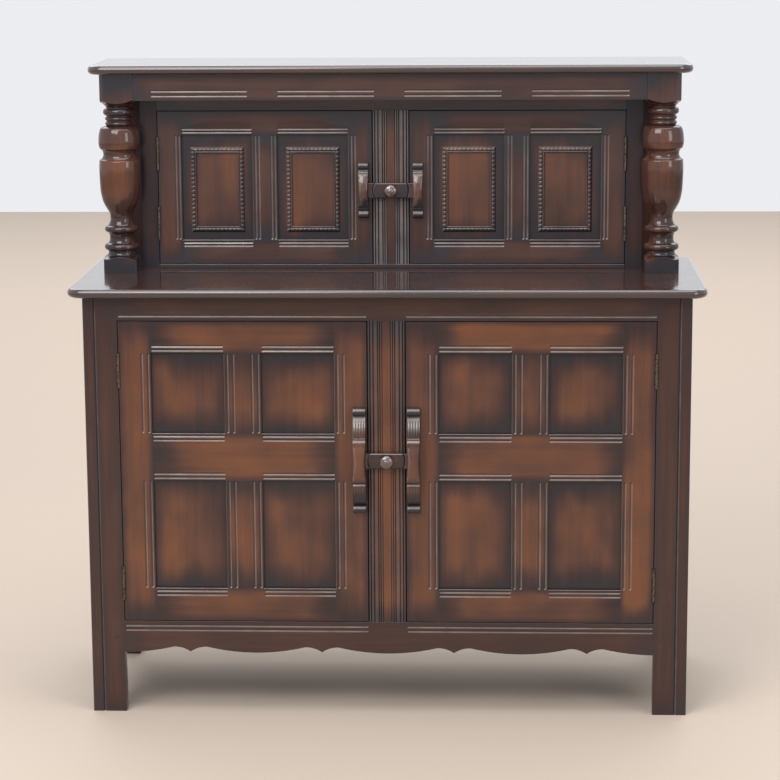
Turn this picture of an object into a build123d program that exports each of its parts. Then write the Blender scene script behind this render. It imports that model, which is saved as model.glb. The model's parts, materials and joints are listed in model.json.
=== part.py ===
"""Court cupboard: a buffet with two panelled doors and, above it, a smaller cupboard set back
under a canopy that stands on two turned posts. Millimetres, front towards -Y, +Z up, origin on
the floor under the middle of the buffet top."""

import os

from build123d import *

os.makedirs("parts", exist_ok=True)

# overall sizes
overall_width = 1228
overall_depth = 450
overall_height = 1262.7
buffet_height = 850.6

# buffet top and canopy boards
board_thickness = 18
board_nose_radius = 8.6
board_corner_radius = 35
buffet_side_overhang = 28
buffet_front_overhang = 32

# lower case
frame_thickness = 22
frame_tenon_length = 28
frame_tenon_shoulder = 8
side_thickness = 22.5
side_arris_radius = 2.4
front_stile_width = 43.8
leg_groove_width = 5
side_stile_depth = 44
rear_leg_width = 40
rear_leg_depth = 32
top_rail_height = 47
sill_height = 186
sill_rail_height = 64
lower_muntin_width = 72.6
side_bottom_rail_height = 66
side_bottom_panel_height = 282
side_middle_rail_height = 94
side_top_rail_height = 62
side_panel_recess = 7
back_rail_thickness = 22
back_rail_setback = 3
back_rail_height = 60
bottom_board_thickness = 18
inner_shelf_height = 498
inner_shelf_thickness = 18
inner_shelf_setback = 30
batten_size = 20
fitting_clearance = 0.3

# scalloped edge of the sill rail
scallop_pitch = 260
scallop_lobe_half = 97
scallop_rise = 11.5
scallop_nib_drop = 10
scallop_nib_curve = (0.6, 0.3)
scallop_lobes = 5

# reeds on the two muntins, from the edge inwards
reed_widths = (4.6, 6.4, 9, 3.8, 4.6)
reed_depth = 1.7

# upper cupboard
upper_face_setback = 291
upper_side_setback = 112.1
upper_stile_width = 33.4
upper_muntin_width = 72.6
upper_sill_thickness = 8.2
upper_top_rail_height = 76.9
upper_side_thickness = 20
upper_back_thickness = 12

# posts, frieze and canopy
post_size = 67.2
post_setback = 222
post_inset = 75.2
post_low_block_height = 32.4
post_high_block_height = 59.3
post_outer_chamfer = 8
post_inner_chamfer = 2.5
post_pommel_reach = 60
post_pommel_drop = 16
post_dowel_radius = 10
post_dowel_length = 9
canopy_side_overhang = 22.8
canopy_front_overhang = 20
frieze_height = 52.2
frieze_thickness = 22
frieze_recess = 2
frieze_line_length = 192
frieze_line_gap = 58
frieze_line_count = 4
frieze_line_heights = (9.8, 19)

# turned shape of a post: radii, and heights from the lower block up to the cup and from the
# upper block above it. A ring is its middle height, radius and half height.
turn_shoulder_radius = 31
turn_shoulder_round = (28, 3)
turn_collar_radius = 26.9
turn_collar_start = 7.2
turn_low_ring = (17.5, 34.7, 7.2)
turn_high_ring = (53.1, 33.6, 6.7)
turn_cove_radius = 23.8
turn_neck_radius = 21.7
turn_cup_foot = 92
turn_cup_foot_radius = 27.2
turn_cup_curve = ((34.5, 0.14), (38.6, 0.3), (40.4, 0.47), (41.5, 0.81))
turn_cup_lip_radius = 40.6
turn_cup_top = 111.9
turn_waist_radius = 32.6
turn_bulb_foot_radius = 39.6
turn_bulb_bottom = 88.4
turn_bulb_curve = ((41.6, 0.2), (41.6, 0.45), (40, 0.72), (36.8, 0.92))
turn_bulb_top_radius = 30.5
turn_bulb_top = 45
turn_bead_radius = 24.6
turn_beads = ((27.2, 8.3), (27.4, 8.3), (31.2, 15))
turn_bead_gap = 1.6
turn_throat_radius = 27.5

# doors
door_gap = 1.5
door_thickness = 21.5
tongue_length = 10
tongue_thickness = 8
tongue_clearance = 0.2
groove_stop = 18
panel_recess = 7
lower_door_stile = 63
lower_door_muntin = 72
lower_door_bottom_rail = 66
lower_door_middle_rail = 94
lower_door_top_rail = 62
lower_door_bottom_panel = 216.5
upper_door_stile = 47.4
upper_door_muntin = 50
upper_door_bottom_rail = 48
upper_door_top_rail = 47

# stopped lines beside the openings: width, depth, slope in degrees, and distances from the edge
line_width = 5.8
line_depth = 1.5
line_taper = 60
lower_lines_upright = (6, 18)
lower_lines_level = (5.5, 13.5)
upper_lines_upright = (5.5, 12.5)
upper_lines_level = (5.5, 12)
rail_line_inset = 9
rail_line_spacing = 9

# raised frame on each upper panel
panel_frame_side_margin = 16.8
panel_frame_top_margin = 24.2
panel_frame_bottom_margin = 14.1
panel_frame_border = 12.7
panel_frame_rise = 4.5
panel_frame_taper = 30

# hinges
hinge_length = 68
hinge_leaf_thickness = 1.2
hinge_leaf_width = 16
hinge_barrel_radius = 3.2
hinge_barrel_clearance = 0.4
hinge_knuckle_gap = 0.3
hinge_pin_radius = 1.5
hinge_pin_clearance = 0.05
hinge_axis_forward = 0.5
lower_hinge_insets = (76, 96)
upper_hinge_insets = (80.5, 85)
screw_head_radius = 3
screw_shank_radius = 1.5
screw_length = 14
screw_end_inset = 11

# latches: a bar on a knob that turns in the muntin
lower_latch_height = 512.4
upper_latch_height = 1008.6
latch_bar_height = 30
latch_bar_thickness = 13
latch_bar_radius = 35.4
latch_bar_arris = 1.5
latch_running_gap = 0.3
latch_catch_gap = 0.8
knob_radius = 14
knob_half_height = 7.5
knob_neck_radius = 7
knob_height = 17
spindle_radius = 4
spindle_clearance = 0.1
spindle_seat_clearance = 0.03
collar_radius = 11
collar_thickness = 6

# handles
lower_handle_length = 208
lower_handle_width = 26
lower_handle_waist = 21
lower_handle_inset = 1.7
lower_handle_rise = 30.5
lower_handle_thickness = 12.5
lower_handle_foot = 38
lower_handle_second_roll = 46
upper_handle_length = 112
upper_handle_width = 20.7
upper_handle_waist = 18
upper_handle_inset = 6.4
upper_handle_rise = 27
upper_handle_thickness = 10
upper_handle_foot = 23
handle_roll_radius = 7.5
handle_second_roll_radius = 6.5
handle_second_roll_sink = 1.5

# pegs and door stops
peg_radius = 4
peg_length = 18
peg_proud = 0.8
peg_inset = 16
stop_thickness = 8
stop_lap = 18

# places worked out from the sizes
front = -overall_depth / 2
back = overall_depth / 2
lower_face = front + buffet_front_overhang
lower_frame_y = (lower_face, lower_face + frame_thickness)
case_half = overall_width / 2 - buffet_side_overhang
side_inner = case_half - side_thickness
stile_inner = side_inner - front_stile_width
buffet_underside = buffet_height - board_thickness
top_rail_bottom = buffet_underside - top_rail_height
sill_rail_bottom = sill_height - sill_rail_height
bottom_board_bottom = sill_height - bottom_board_thickness
side_bottom_rail = (sill_rail_bottom, sill_rail_bottom + side_bottom_rail_height)
side_middle_bottom = side_bottom_rail[1] + side_bottom_panel_height
side_middle_rail = (side_middle_bottom, side_middle_bottom + side_middle_rail_height)
side_top_rail = (buffet_underside - side_top_rail_height, buffet_underside)
back_rail_bottom = bottom_board_bottom - batten_size
back_bottom_rail = (back_rail_bottom, back_rail_bottom + back_rail_height)
back_top_rail = (buffet_underside - back_rail_height, buffet_underside)
rear_leg_front = back - rear_leg_depth
rear_leg_inner = case_half - rear_leg_width
upper_face = front + upper_face_setback
upper_frame_y = (upper_face, upper_face + frame_thickness)
upper_half = overall_width / 2 - upper_side_setback
upper_opening_half = upper_half - upper_stile_width
upper_side_inner = upper_half - upper_side_thickness
upper_sill_top = buffet_height + upper_sill_thickness
canopy_underside = overall_height - board_thickness
upper_rail_bottom = canopy_underside - upper_top_rail_height
frieze_bottom = canopy_underside - frieze_height
post_front = front + post_setback
post_axis = post_front + post_size / 2
post_centre = overall_width / 2 - post_inset
post_back = post_front + post_size
canopy_half = post_centre + post_size / 2 + canopy_side_overhang
canopy_front = post_front - canopy_front_overhang
frieze_outside = post_centre + post_size / 2 - frieze_recess
hands = ((-1, "left"), (1, "right"))


def span(hand, near, far):
    """Two distances from the middle as an X range, to the left (-1) or to the right (1)."""
    return tuple(sorted((hand * near, hand * far)))


def block(x, y, z, mode=Mode.ADD):
    """A box between a low and a high value along each axis."""
    with Locations((sum(x) / 2, sum(y) / 2, sum(z) / 2)):
        Box(x[1] - x[0], y[1] - y[0], z[1] - z[0], mode=mode)


def rod(point, direction, radius, length, mode=Mode.ADD):
    """A round bar from a point along a direction."""
    with Locations(Plane(point, z_dir=direction)):
        Cylinder(radius, length, align=(Align.CENTER, Align.CENTER, Align.MIN), mode=mode)


def front_plane(y):
    """A plane that faces the front at depth y, with X and Z as its own axes."""
    return Plane(origin=(0, y, 0), x_dir=(1, 0, 0), z_dir=(0, -1, 0))


def side_plane(x, hand=1):
    """A plane that faces right (1) or left (-1) at x. Its own axes are hand * Y, and Z."""
    return Plane(origin=(x, 0, 0), x_dir=(0, hand, 0), z_dir=(hand, 0, 0))


def cut_slots(plane, level=(), upright=()):
    """Cuts stopped lines with sloping sides. Each line is (middle, middle, length)."""
    with BuildSketch(plane) as lines:
        for u, v, length in level:
            with Locations((u, v)):
                SlotOverall(length, line_width)
        for u, v, length in upright:
            with Locations((u, v)):
                SlotOverall(length, line_width, rotation=90)
    extrude(lines.sketch, amount=-line_depth, taper=line_taper, mode=Mode.SUBTRACT)


def cut_opening_lines(plane, openings, offsets_upright, offsets_level, members):
    """Cuts the lines beside each opening, on the uprights or on the level members."""
    level, upright = [], []
    for u, v in openings:
        middle_u, middle_v = sum(u) / 2, sum(v) / 2
        for offset in offsets_level:
            level += [(middle_u, edge, u[1] - u[0]) for edge in (v[0] - offset, v[1] + offset)]
        for offset in offsets_upright:
            upright += [(edge, middle_v, v[1] - v[0]) for edge in (u[0] - offset, u[1] + offset)]
    if members == "level":
        cut_slots(plane, level=level)
    else:
        cut_slots(plane, upright=upright)


def save(piece, name):
    """Labels a finished piece and writes it."""
    piece.part.label = name
    export_step(piece.part, f"parts/{name}.step")


# hinges: places, seats in the wood, leaves and screws

hinge_offset = door_gap / 2
lower_door_x = (lower_muntin_width / 2 + door_gap, stile_inner - door_gap)
lower_door_z = (sill_height + door_gap, top_rail_bottom - door_gap)
upper_door_x = (upper_muntin_width / 2 + door_gap, upper_opening_half - door_gap)
upper_door_z = (upper_sill_top + door_gap, upper_rail_bottom - door_gap)


def hinge_heights(door_z, insets):
    """Middle heights of a door's lower and upper hinge."""
    return (door_z[0] + insets[0], door_z[1] - insets[1])


lower_hinges = (
    stile_inner - hinge_offset,
    lower_face - hinge_axis_forward,
    hinge_heights(lower_door_z, lower_hinge_insets),
)
upper_hinges = (
    upper_opening_half - hinge_offset,
    upper_face - hinge_axis_forward,
    hinge_heights(upper_door_z, upper_hinge_insets),
)


def place_screws(hand, side, hinges, z, mode=Mode.ADD):
    """Two countersunk screws of one leaf. side is 1 in the frame and -1 in the door."""
    axis_x, axis_y, _ = hinges
    y = axis_y + (hinge_leaf_width + hinge_barrel_radius) / 2
    for up in (-1, 1):
        height = z + up * (hinge_length / 2 - screw_end_inset)
        head = (hand * (axis_x + side * hinge_offset), y, height)
        inwards = (hand * side, 0, 0)
        rod(head, inwards, screw_shank_radius, screw_length, mode)
        with Locations(Plane(head, z_dir=inwards)):
            Cone(
                screw_head_radius,
                screw_shank_radius,
                hinge_leaf_thickness,
                align=(Align.CENTER, Align.CENTER, Align.MIN),
                mode=mode,
            )


def leaf_range(hand, side, hinges):
    """X range of one leaf, which lies flush in the edge that it is screwed to."""
    face = hinges[0] + side * hinge_offset
    return span(hand, face, face + side * hinge_leaf_thickness)


def cut_hinge_seats(hand, side, hinges):
    """Sinks the leaves and their screws, and clears the barrel."""
    axis_x, axis_y, heights = hinges
    seat_length = hinge_length + 2 * hinge_barrel_clearance
    for z in heights:
        z_range = (z - hinge_length / 2, z + hinge_length / 2)
        leaf_y = (axis_y, axis_y + hinge_leaf_width)
        block(leaf_range(hand, side, hinges), leaf_y, z_range, Mode.SUBTRACT)
        with Locations((hand * axis_x, axis_y, z)):
            Cylinder(
                hinge_barrel_radius + hinge_barrel_clearance, seat_length, mode=Mode.SUBTRACT
            )
        place_screws(hand, side, hinges, z, Mode.SUBTRACT)


def make_leaf(hand, side, hinges, z):
    """One leaf: the frame's has the two end knuckles, and the door's the middle one."""
    axis_x, axis_y, _ = hinges
    third = hinge_length / 3
    ends = [(-third, third - hinge_knuckle_gap), (third, third - hinge_knuckle_gap)]
    middle = [(0, third - hinge_knuckle_gap)]
    own, other = (ends, middle) if side > 0 else (middle, ends)
    bore = hinge_pin_radius + (hinge_pin_clearance if side < 0 else 0)
    with BuildPart() as leaf:
        block(
            leaf_range(hand, side, hinges),
            (axis_y, axis_y + hinge_leaf_width),
            (z - hinge_length / 2, z + hinge_length / 2),
        )
        for offset, _ in other:
            with Locations((hand * axis_x, axis_y, z + offset)):
                Cylinder(
                    hinge_barrel_radius + hinge_barrel_clearance,
                    third + hinge_knuckle_gap,
                    mode=Mode.SUBTRACT,
                )
        for offset, length in own:
            with Locations((hand * axis_x, axis_y, z + offset)):
                Cylinder(hinge_barrel_radius, length)
        with Locations((hand * axis_x, axis_y, z)):
            Cylinder(bore, hinge_length, mode=Mode.SUBTRACT)
        place_screws(hand, side, hinges, z, Mode.SUBTRACT)
    return leaf.part


def hinge_side(hand, side, hinges):
    """One side of a door's two hinges: leaves and screws, and the pins in the frame's."""
    axis_x, axis_y, heights = hinges
    pieces = []
    for z in heights:
        with BuildPart() as screws:
            place_screws(hand, side, hinges, z)
        pieces += [make_leaf(hand, side, hinges, z), *screws.part.solids()]
        if side > 0:
            with BuildPart() as pin:
                bottom = (hand * axis_x, axis_y, z - hinge_length / 2)
                rod(bottom, (0, 0, 1), hinge_pin_radius, hinge_length)
            pieces.append(pin.part)
    return pieces


def save_group(pieces, name):
    """Writes pieces that touch as separate solids of one group."""
    group = Compound(label=name, children=pieces)
    export_step(group, f"parts/{name}.step")


# boards

def nosed_board(half_width, y_front, top):
    """A board with rounded front corners and a round nose on its front and its ends."""
    with BuildPart() as board:
        block((-half_width, half_width), (y_front, back), (top - board_thickness, top))
        fillet(board.edges().filter_by(Axis.Z).group_by(Axis.Y)[0], board_corner_radius)
        rims = board.faces().filter_by(Axis.Z).edges()
        fillet([edge for edge in rims if edge.center().Y < back - board_nose_radius], board_nose_radius)
    add(board.part)


def cut_dowel_holes(z):
    """Sinks the holes for the dowels of both posts, upwards from z."""
    for hand, _ in hands:
        point = (hand * post_centre, post_axis, z)
        rod(point, (0, 0, 1), post_dowel_radius, post_dowel_length, Mode.SUBTRACT)


with BuildPart() as buffet_top:
    nosed_board(overall_width / 2, front, buffet_height)
    cut_dowel_holes(buffet_height - post_dowel_length)
save(buffet_top, "buffet_top")

with BuildPart() as canopy_top:
    nosed_board(canopy_half, canopy_front, overall_height)
    cut_dowel_holes(canopy_underside)
save(canopy_top, "canopy_top")


# lower case: front frame

tenon_y = (lower_face + panel_recess, lower_face + panel_recess + tongue_thickness)
peg_x = stile_inner + peg_inset
peg_heights = (buffet_underside - top_rail_height / 2, sill_height - sill_rail_height / 2)


def tenon_range(z):
    """Height range of a frame tenon, with a shoulder above and below."""
    return (z[0] + frame_tenon_shoulder, z[1] - frame_tenon_shoulder)


top_rail_z = (top_rail_bottom, buffet_underside)
sill_rail_z = (sill_rail_bottom + scallop_rise, sill_height)


def place_pegs(proud, mode=Mode.ADD):
    """Pegs through the frame tenons, or the holes that they sit in."""
    for hand, _ in hands:
        for z in peg_heights:
            head = (hand * peg_x, lower_face - proud, z)
            rod(head, (0, 1, 0), peg_radius, peg_length - peg_proud + proud, mode)


for hand, side_name in hands:
    with BuildPart() as front_stile:
        block(span(hand, stile_inner, side_inner), lower_frame_y, (0, buffet_underside))
        arrises = front_stile.edges().filter_by(Axis.Z).group_by(Axis.Y)[0].sort_by(Axis.X)
        chamfer(arrises[-1 if hand > 0 else 0], leg_groove_width / 2)
        for z in (top_rail_z, sill_rail_z):
            mortise_x = span(hand, stile_inner, stile_inner + frame_tenon_length)
            block(mortise_x, tenon_y, tenon_range(z), Mode.SUBTRACT)
        cut_hinge_seats(hand, 1, lower_hinges)
        place_pegs(0, Mode.SUBTRACT)
    save(front_stile, f"front_stile_{side_name}")

with BuildPart() as front_top_rail:
    block((-stile_inner, stile_inner), lower_frame_y, top_rail_z)
    tenon_half = stile_inner + frame_tenon_length
    block((-tenon_half, tenon_half), tenon_y, tenon_range(top_rail_z))
    muntin_half = lower_muntin_width / 2
    muntin_mortise_z = (top_rail_bottom, top_rail_bottom + tongue_length)
    block((-muntin_half, muntin_half), tenon_y, muntin_mortise_z, Mode.SUBTRACT)
    door_middle = sum(lower_door_x) / 2
    door_width = lower_door_x[1] - lower_door_x[0]
    line_height = top_rail_bottom + rail_line_inset
    lines = [(hand * door_middle, line_height, door_width) for hand, _ in hands]
    cut_slots(front_plane(lower_face), level=lines)
    place_pegs(0, Mode.SUBTRACT)
save(front_top_rail, "front_top_rail")

scallop_peak = sill_rail_bottom + scallop_rise
nib_height = scallop_peak - scallop_nib_drop
outermost = scallop_lobes // 2

with BuildPart() as front_sill_rail:
    with BuildSketch(front_plane(lower_face)) as outline:
        with BuildLine():
            corner = (-(outermost + 1) * scallop_pitch, sill_height)
            at = (-outermost * scallop_pitch - scallop_lobe_half, scallop_peak)
            Polyline(corner, (corner[0], scallop_peak), at)
            for lobe in range(-outermost, outermost + 1):
                middle = lobe * scallop_pitch
                end = (middle + scallop_lobe_half, scallop_peak)
                ThreePointArc(at, (middle, sill_rail_bottom), end)
                if lobe < outermost:
                    nib = (middle + scallop_pitch / 2, nib_height)
                    run = scallop_nib_curve[0] * (nib[0] - end[0])
                    curve_height = scallop_peak - scallop_nib_curve[1] * scallop_nib_drop
                    at = (middle + scallop_pitch - scallop_lobe_half, scallop_peak)
                    ThreePointArc(end, (end[0] + run, curve_height), nib)
                    ThreePointArc(nib, (at[0] - run, curve_height), at)
            Polyline(end, (-corner[0], scallop_peak), (-corner[0], sill_height), corner)
        make_face()
        with Locations((0, sill_height - sill_rail_height / 2)):
            Rectangle(2 * stile_inner, sill_rail_height, mode=Mode.INTERSECT)
    extrude(amount=-frame_thickness)
    block((-tenon_half, tenon_half), tenon_y, tenon_range(sill_rail_z))
    muntin_mortise_z = (sill_height - tongue_length, sill_height)
    block((-muntin_half, muntin_half), tenon_y, muntin_mortise_z, Mode.SUBTRACT)
    for n in (0, 1):
        line_height = sill_height - rail_line_inset - n * rail_line_spacing
        lines = [(hand * door_middle, line_height, door_width) for hand, _ in hands]
        cut_slots(front_plane(lower_face), level=lines)
    place_pegs(0, Mode.SUBTRACT)
save(front_sill_rail, "front_sill_rail")


def reeded_board(width, face, z):
    """A board whose front is run with reeds on both sides of a flat middle."""
    middle = width - 2 * sum(reed_widths)
    valley = face + reed_depth
    rear = face + frame_thickness
    with BuildSketch(Plane.XY.offset(z[0])) as section:
        with BuildLine():
            x = -width / 2
            Line((x, rear), (x, valley))
            for reed in (*reed_widths, middle, *reversed(reed_widths)):
                if reed == middle:
                    flat = (x + reed_depth, face), (x + reed - reed_depth, face)
                    Polyline((x, valley), *flat, (x + reed, valley))
                else:
                    ThreePointArc((x, valley), (x + reed / 2, face), (x + reed, valley))
                x += reed
            Polyline((x, valley), (x, rear), (-width / 2, rear))
        make_face()
    extrude(section.sketch, amount=z[1] - z[0])


def cut_spindle_hole(height):
    """Bores the running hole of a latch's spindle right through, from front to back."""
    point = (0, front, height)
    rod(point, (0, 1, 0), spindle_radius + spindle_clearance, overall_depth, Mode.SUBTRACT)


with BuildPart() as lower_muntin:
    reeded_board(lower_muntin_width, lower_face, (sill_height, top_rail_bottom))
    muntin_tenon_z = (sill_height - tongue_length, top_rail_bottom + tongue_length)
    block((-muntin_half, muntin_half), tenon_y, muntin_tenon_z)
    cut_spindle_hole(lower_latch_height)
save(lower_muntin, "lower_muntin")

with BuildPart() as frame_pegs:
    place_pegs(peg_proud)
save(frame_pegs, "frame_pegs")


# lower case: sides and back

side_y = (lower_face + side_stile_depth, rear_leg_front)
side_rails_z = (side_bottom_rail, side_middle_rail, side_top_rail)
side_openings_z = (
    (side_bottom_rail[1], side_middle_rail[0]),
    (side_middle_rail[1], side_top_rail[0]),
)
side_tongue_z = (side_bottom_rail[0] + groove_stop, side_top_rail[1] - groove_stop)
side_tongue_x = (
    case_half - side_panel_recess - tongue_thickness,
    case_half - side_panel_recess,
)
back_frame_y = (back - back_rail_setback - back_rail_thickness, back - back_rail_setback)
back_tongue_y = (back_frame_y[0] + panel_recess, back_frame_y[0] + panel_recess + tongue_thickness)
back_tongue_z = (back_bottom_rail[0] + groove_stop, back_top_rail[1] - groove_stop)


def inset(pair, amount):
    """A range made shorter by an amount at each end, or longer by a negative one."""
    return (pair[0] + amount, pair[1] - amount)


with BuildPart() as side_front_stiles:
    for hand, _ in hands:
        block(span(hand, side_inner, case_half), (lower_face, side_y[0]), (0, buffet_underside))
        groove_y = (side_y[0] - tongue_length, side_y[0])
        block(span(hand, *side_tongue_x), groove_y, side_tongue_z, Mode.SUBTRACT)
    arrises = side_front_stiles.edges().filter_by(Axis.Z).group_by(Axis.Y)[0].sort_by(Axis.X)
    inner_arrises, outer_arrises = (arrises[1], arrises[2]), (arrises[0], arrises[3])
    chamfer(inner_arrises, leg_groove_width / 2)
    fillet(outer_arrises, side_arris_radius)
save(side_front_stiles, "side_front_stiles")

with BuildPart() as rear_legs:
    for hand, _ in hands:
        leg_x = span(hand, rear_leg_inner, case_half)
        block(leg_x, (rear_leg_front, back), (0, buffet_underside))
        groove_y = (rear_leg_front, rear_leg_front + tongue_length)
        block(span(hand, *side_tongue_x), groove_y, side_tongue_z, Mode.SUBTRACT)
        groove_x = span(hand, rear_leg_inner, rear_leg_inner + tongue_length)
        block(groove_x, back_tongue_y, back_tongue_z, Mode.SUBTRACT)
save(rear_legs, "rear_legs")

with BuildPart() as side_rails:
    for hand, _ in hands:
        for z in side_rails_z:
            block(span(hand, side_inner, case_half), side_y, z)
            tenon_z = (max(z[0], side_tongue_z[0]), min(z[1], side_tongue_z[1]))
            block(span(hand, *side_tongue_x), inset(side_y, -tongue_length), tenon_z)
        groove_y = inset(side_y, -tongue_length)
        for z in side_openings_z:
            groove_z = inset(z, -tongue_length)
            block(span(hand, *side_tongue_x), groove_y, groove_z, Mode.SUBTRACT)
        face = side_plane(hand * case_half, hand)
        openings = [(span(hand, *side_y), z) for z in side_openings_z]
        cut_opening_lines(face, openings, (), lower_lines_level, "level")
save(side_rails, "side_rails")

with BuildPart() as side_panels:
    for hand, _ in hands:
        for z in side_openings_z:
            block(
                span(hand, *inset(side_tongue_x, tongue_clearance / 2)),
                inset(side_y, tongue_clearance - tongue_length),
                inset(z, tongue_clearance - tongue_length),
            )
save(side_panels, "side_panels")

back_x = (-rear_leg_inner, rear_leg_inner)
back_opening_z = (back_bottom_rail[1], back_top_rail[0])

with BuildPart() as back_rails:
    for z in (back_bottom_rail, back_top_rail):
        block(back_x, back_frame_y, z)
        tenon_z = (max(z[0], back_tongue_z[0]), min(z[1], back_tongue_z[1]))
        block(inset(back_x, -tongue_length), back_tongue_y, tenon_z)
    groove_x, groove_z = inset(back_x, -tongue_length), inset(back_opening_z, -tongue_length)
    block(groove_x, back_tongue_y, groove_z, Mode.SUBTRACT)
save(back_rails, "back_rails")

with BuildPart() as lower_back_panel:
    block(
        inset(back_x, tongue_clearance - tongue_length),
        inset(back_tongue_y, tongue_clearance / 2),
        inset(back_opening_z, tongue_clearance - tongue_length),
    )
save(lower_back_panel, "lower_back_panel")


# lower case: inside

inside_x = (-side_inner, side_inner)
board_back = back_frame_y[0] - fitting_clearance


def cut_leg_notches():
    """Notches the back corners of the active board round the rear legs."""
    for hand, _ in hands:
        notch_x = span(hand, rear_leg_inner - fitting_clearance, case_half)
        notch_y = (rear_leg_front - fitting_clearance, back)
        block(notch_x, notch_y, (0, buffet_underside), Mode.SUBTRACT)


bottom_board_z = (bottom_board_bottom, sill_height)

with BuildPart() as bottom_board:
    block(inside_x, (lower_frame_y[1], board_back), bottom_board_z)
    cut_leg_notches()
save(bottom_board, "bottom_board")

inner_shelf_z = (inner_shelf_height - inner_shelf_thickness, inner_shelf_height)

with BuildPart() as inner_shelf:
    block(inside_x, (lower_frame_y[1] + inner_shelf_setback, board_back), inner_shelf_z)
    cut_leg_notches()
save(inner_shelf, "inner_shelf")

with BuildPart() as battens:
    for top in (bottom_board_z[0], inner_shelf_z[0], buffet_underside):
        for hand, _ in hands:
            batten_x = span(hand, side_inner - batten_size, side_inner)
            block(batten_x, inset(side_y, batten_size), (top - batten_size, top))
    sill_batten_y = (lower_frame_y[1], lower_frame_y[1] + batten_size)
    sill_batten_z = (bottom_board_z[0] - batten_size, bottom_board_z[0])
    block(inset(inside_x, 2 * batten_size), sill_batten_y, sill_batten_z)
save(battens, "battens")

with BuildPart() as door_stops:
    for face, width, z, height in (
        (lower_frame_y[1], lower_muntin_width, (sill_height, top_rail_bottom), lower_latch_height),
        (
            upper_frame_y[1],
            upper_muntin_width,
            (buffet_height, upper_rail_bottom),
            upper_latch_height,
        ),
    ):
        half = width / 2 + stop_lap
        block((-half, half), (face, face + stop_thickness), z)
        cut_spindle_hole(height)
save(door_stops, "door_stops")


# upper cupboard

upper_tenon_y = (upper_face + panel_recess, upper_face + panel_recess + tongue_thickness)
upper_back_y = (back - upper_back_thickness, back)

with BuildPart() as upper_sides:
    for hand, _ in hands:
        side_x = span(hand, upper_side_inner, upper_half)
        block(side_x, (upper_frame_y[1], upper_back_y[0]), (buffet_height, canopy_underside))
save(upper_sides, "upper_sides")

upper_rail_z = (upper_rail_bottom, canopy_underside)
upper_opening_x = (-upper_opening_half, upper_opening_half)

with BuildPart() as upper_stiles:
    for hand, _ in hands:
        stile_x = span(hand, upper_opening_half, upper_half)
        block(stile_x, upper_frame_y, (buffet_height, canopy_underside))
        mortise_x = span(hand, upper_opening_half, upper_opening_half + tongue_length)
        block(mortise_x, upper_tenon_y, tenon_range(upper_rail_z), Mode.SUBTRACT)
        cut_hinge_seats(hand, 1, upper_hinges)
save(upper_stiles, "upper_stiles")

upper_muntin_half = upper_muntin_width / 2
upper_muntin_x = (-upper_muntin_half, upper_muntin_half)

with BuildPart() as upper_top_rail:
    block(upper_opening_x, upper_frame_y, upper_rail_z)
    block(inset(upper_opening_x, -tongue_length), upper_tenon_y, tenon_range(upper_rail_z))
    mortise_z = (upper_rail_bottom, upper_rail_bottom + tongue_length)
    block(upper_muntin_x, upper_tenon_y, mortise_z, Mode.SUBTRACT)
save(upper_top_rail, "upper_top_rail")

with BuildPart() as upper_sill:
    block(upper_opening_x, upper_frame_y, (buffet_height, upper_sill_top))
save(upper_sill, "upper_sill")

with BuildPart() as upper_muntin:
    reeded_board(upper_muntin_width, upper_face, (upper_sill_top, upper_rail_bottom))
    muntin_tenon_z = (upper_sill_top, upper_rail_bottom + tongue_length)
    block(upper_muntin_x, upper_tenon_y, muntin_tenon_z)
    cut_spindle_hole(upper_latch_height)
save(upper_muntin, "upper_muntin")

with BuildPart() as upper_back_panel:
    back_half = frieze_outside - frieze_thickness
    block((-back_half, back_half), upper_back_y, (buffet_height, canopy_underside))
save(upper_back_panel, "upper_back_panel")


# posts and frieze

post_block_low = (buffet_height, buffet_height + post_low_block_height)
post_block_high = (canopy_underside - post_high_block_height, canopy_underside)


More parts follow.
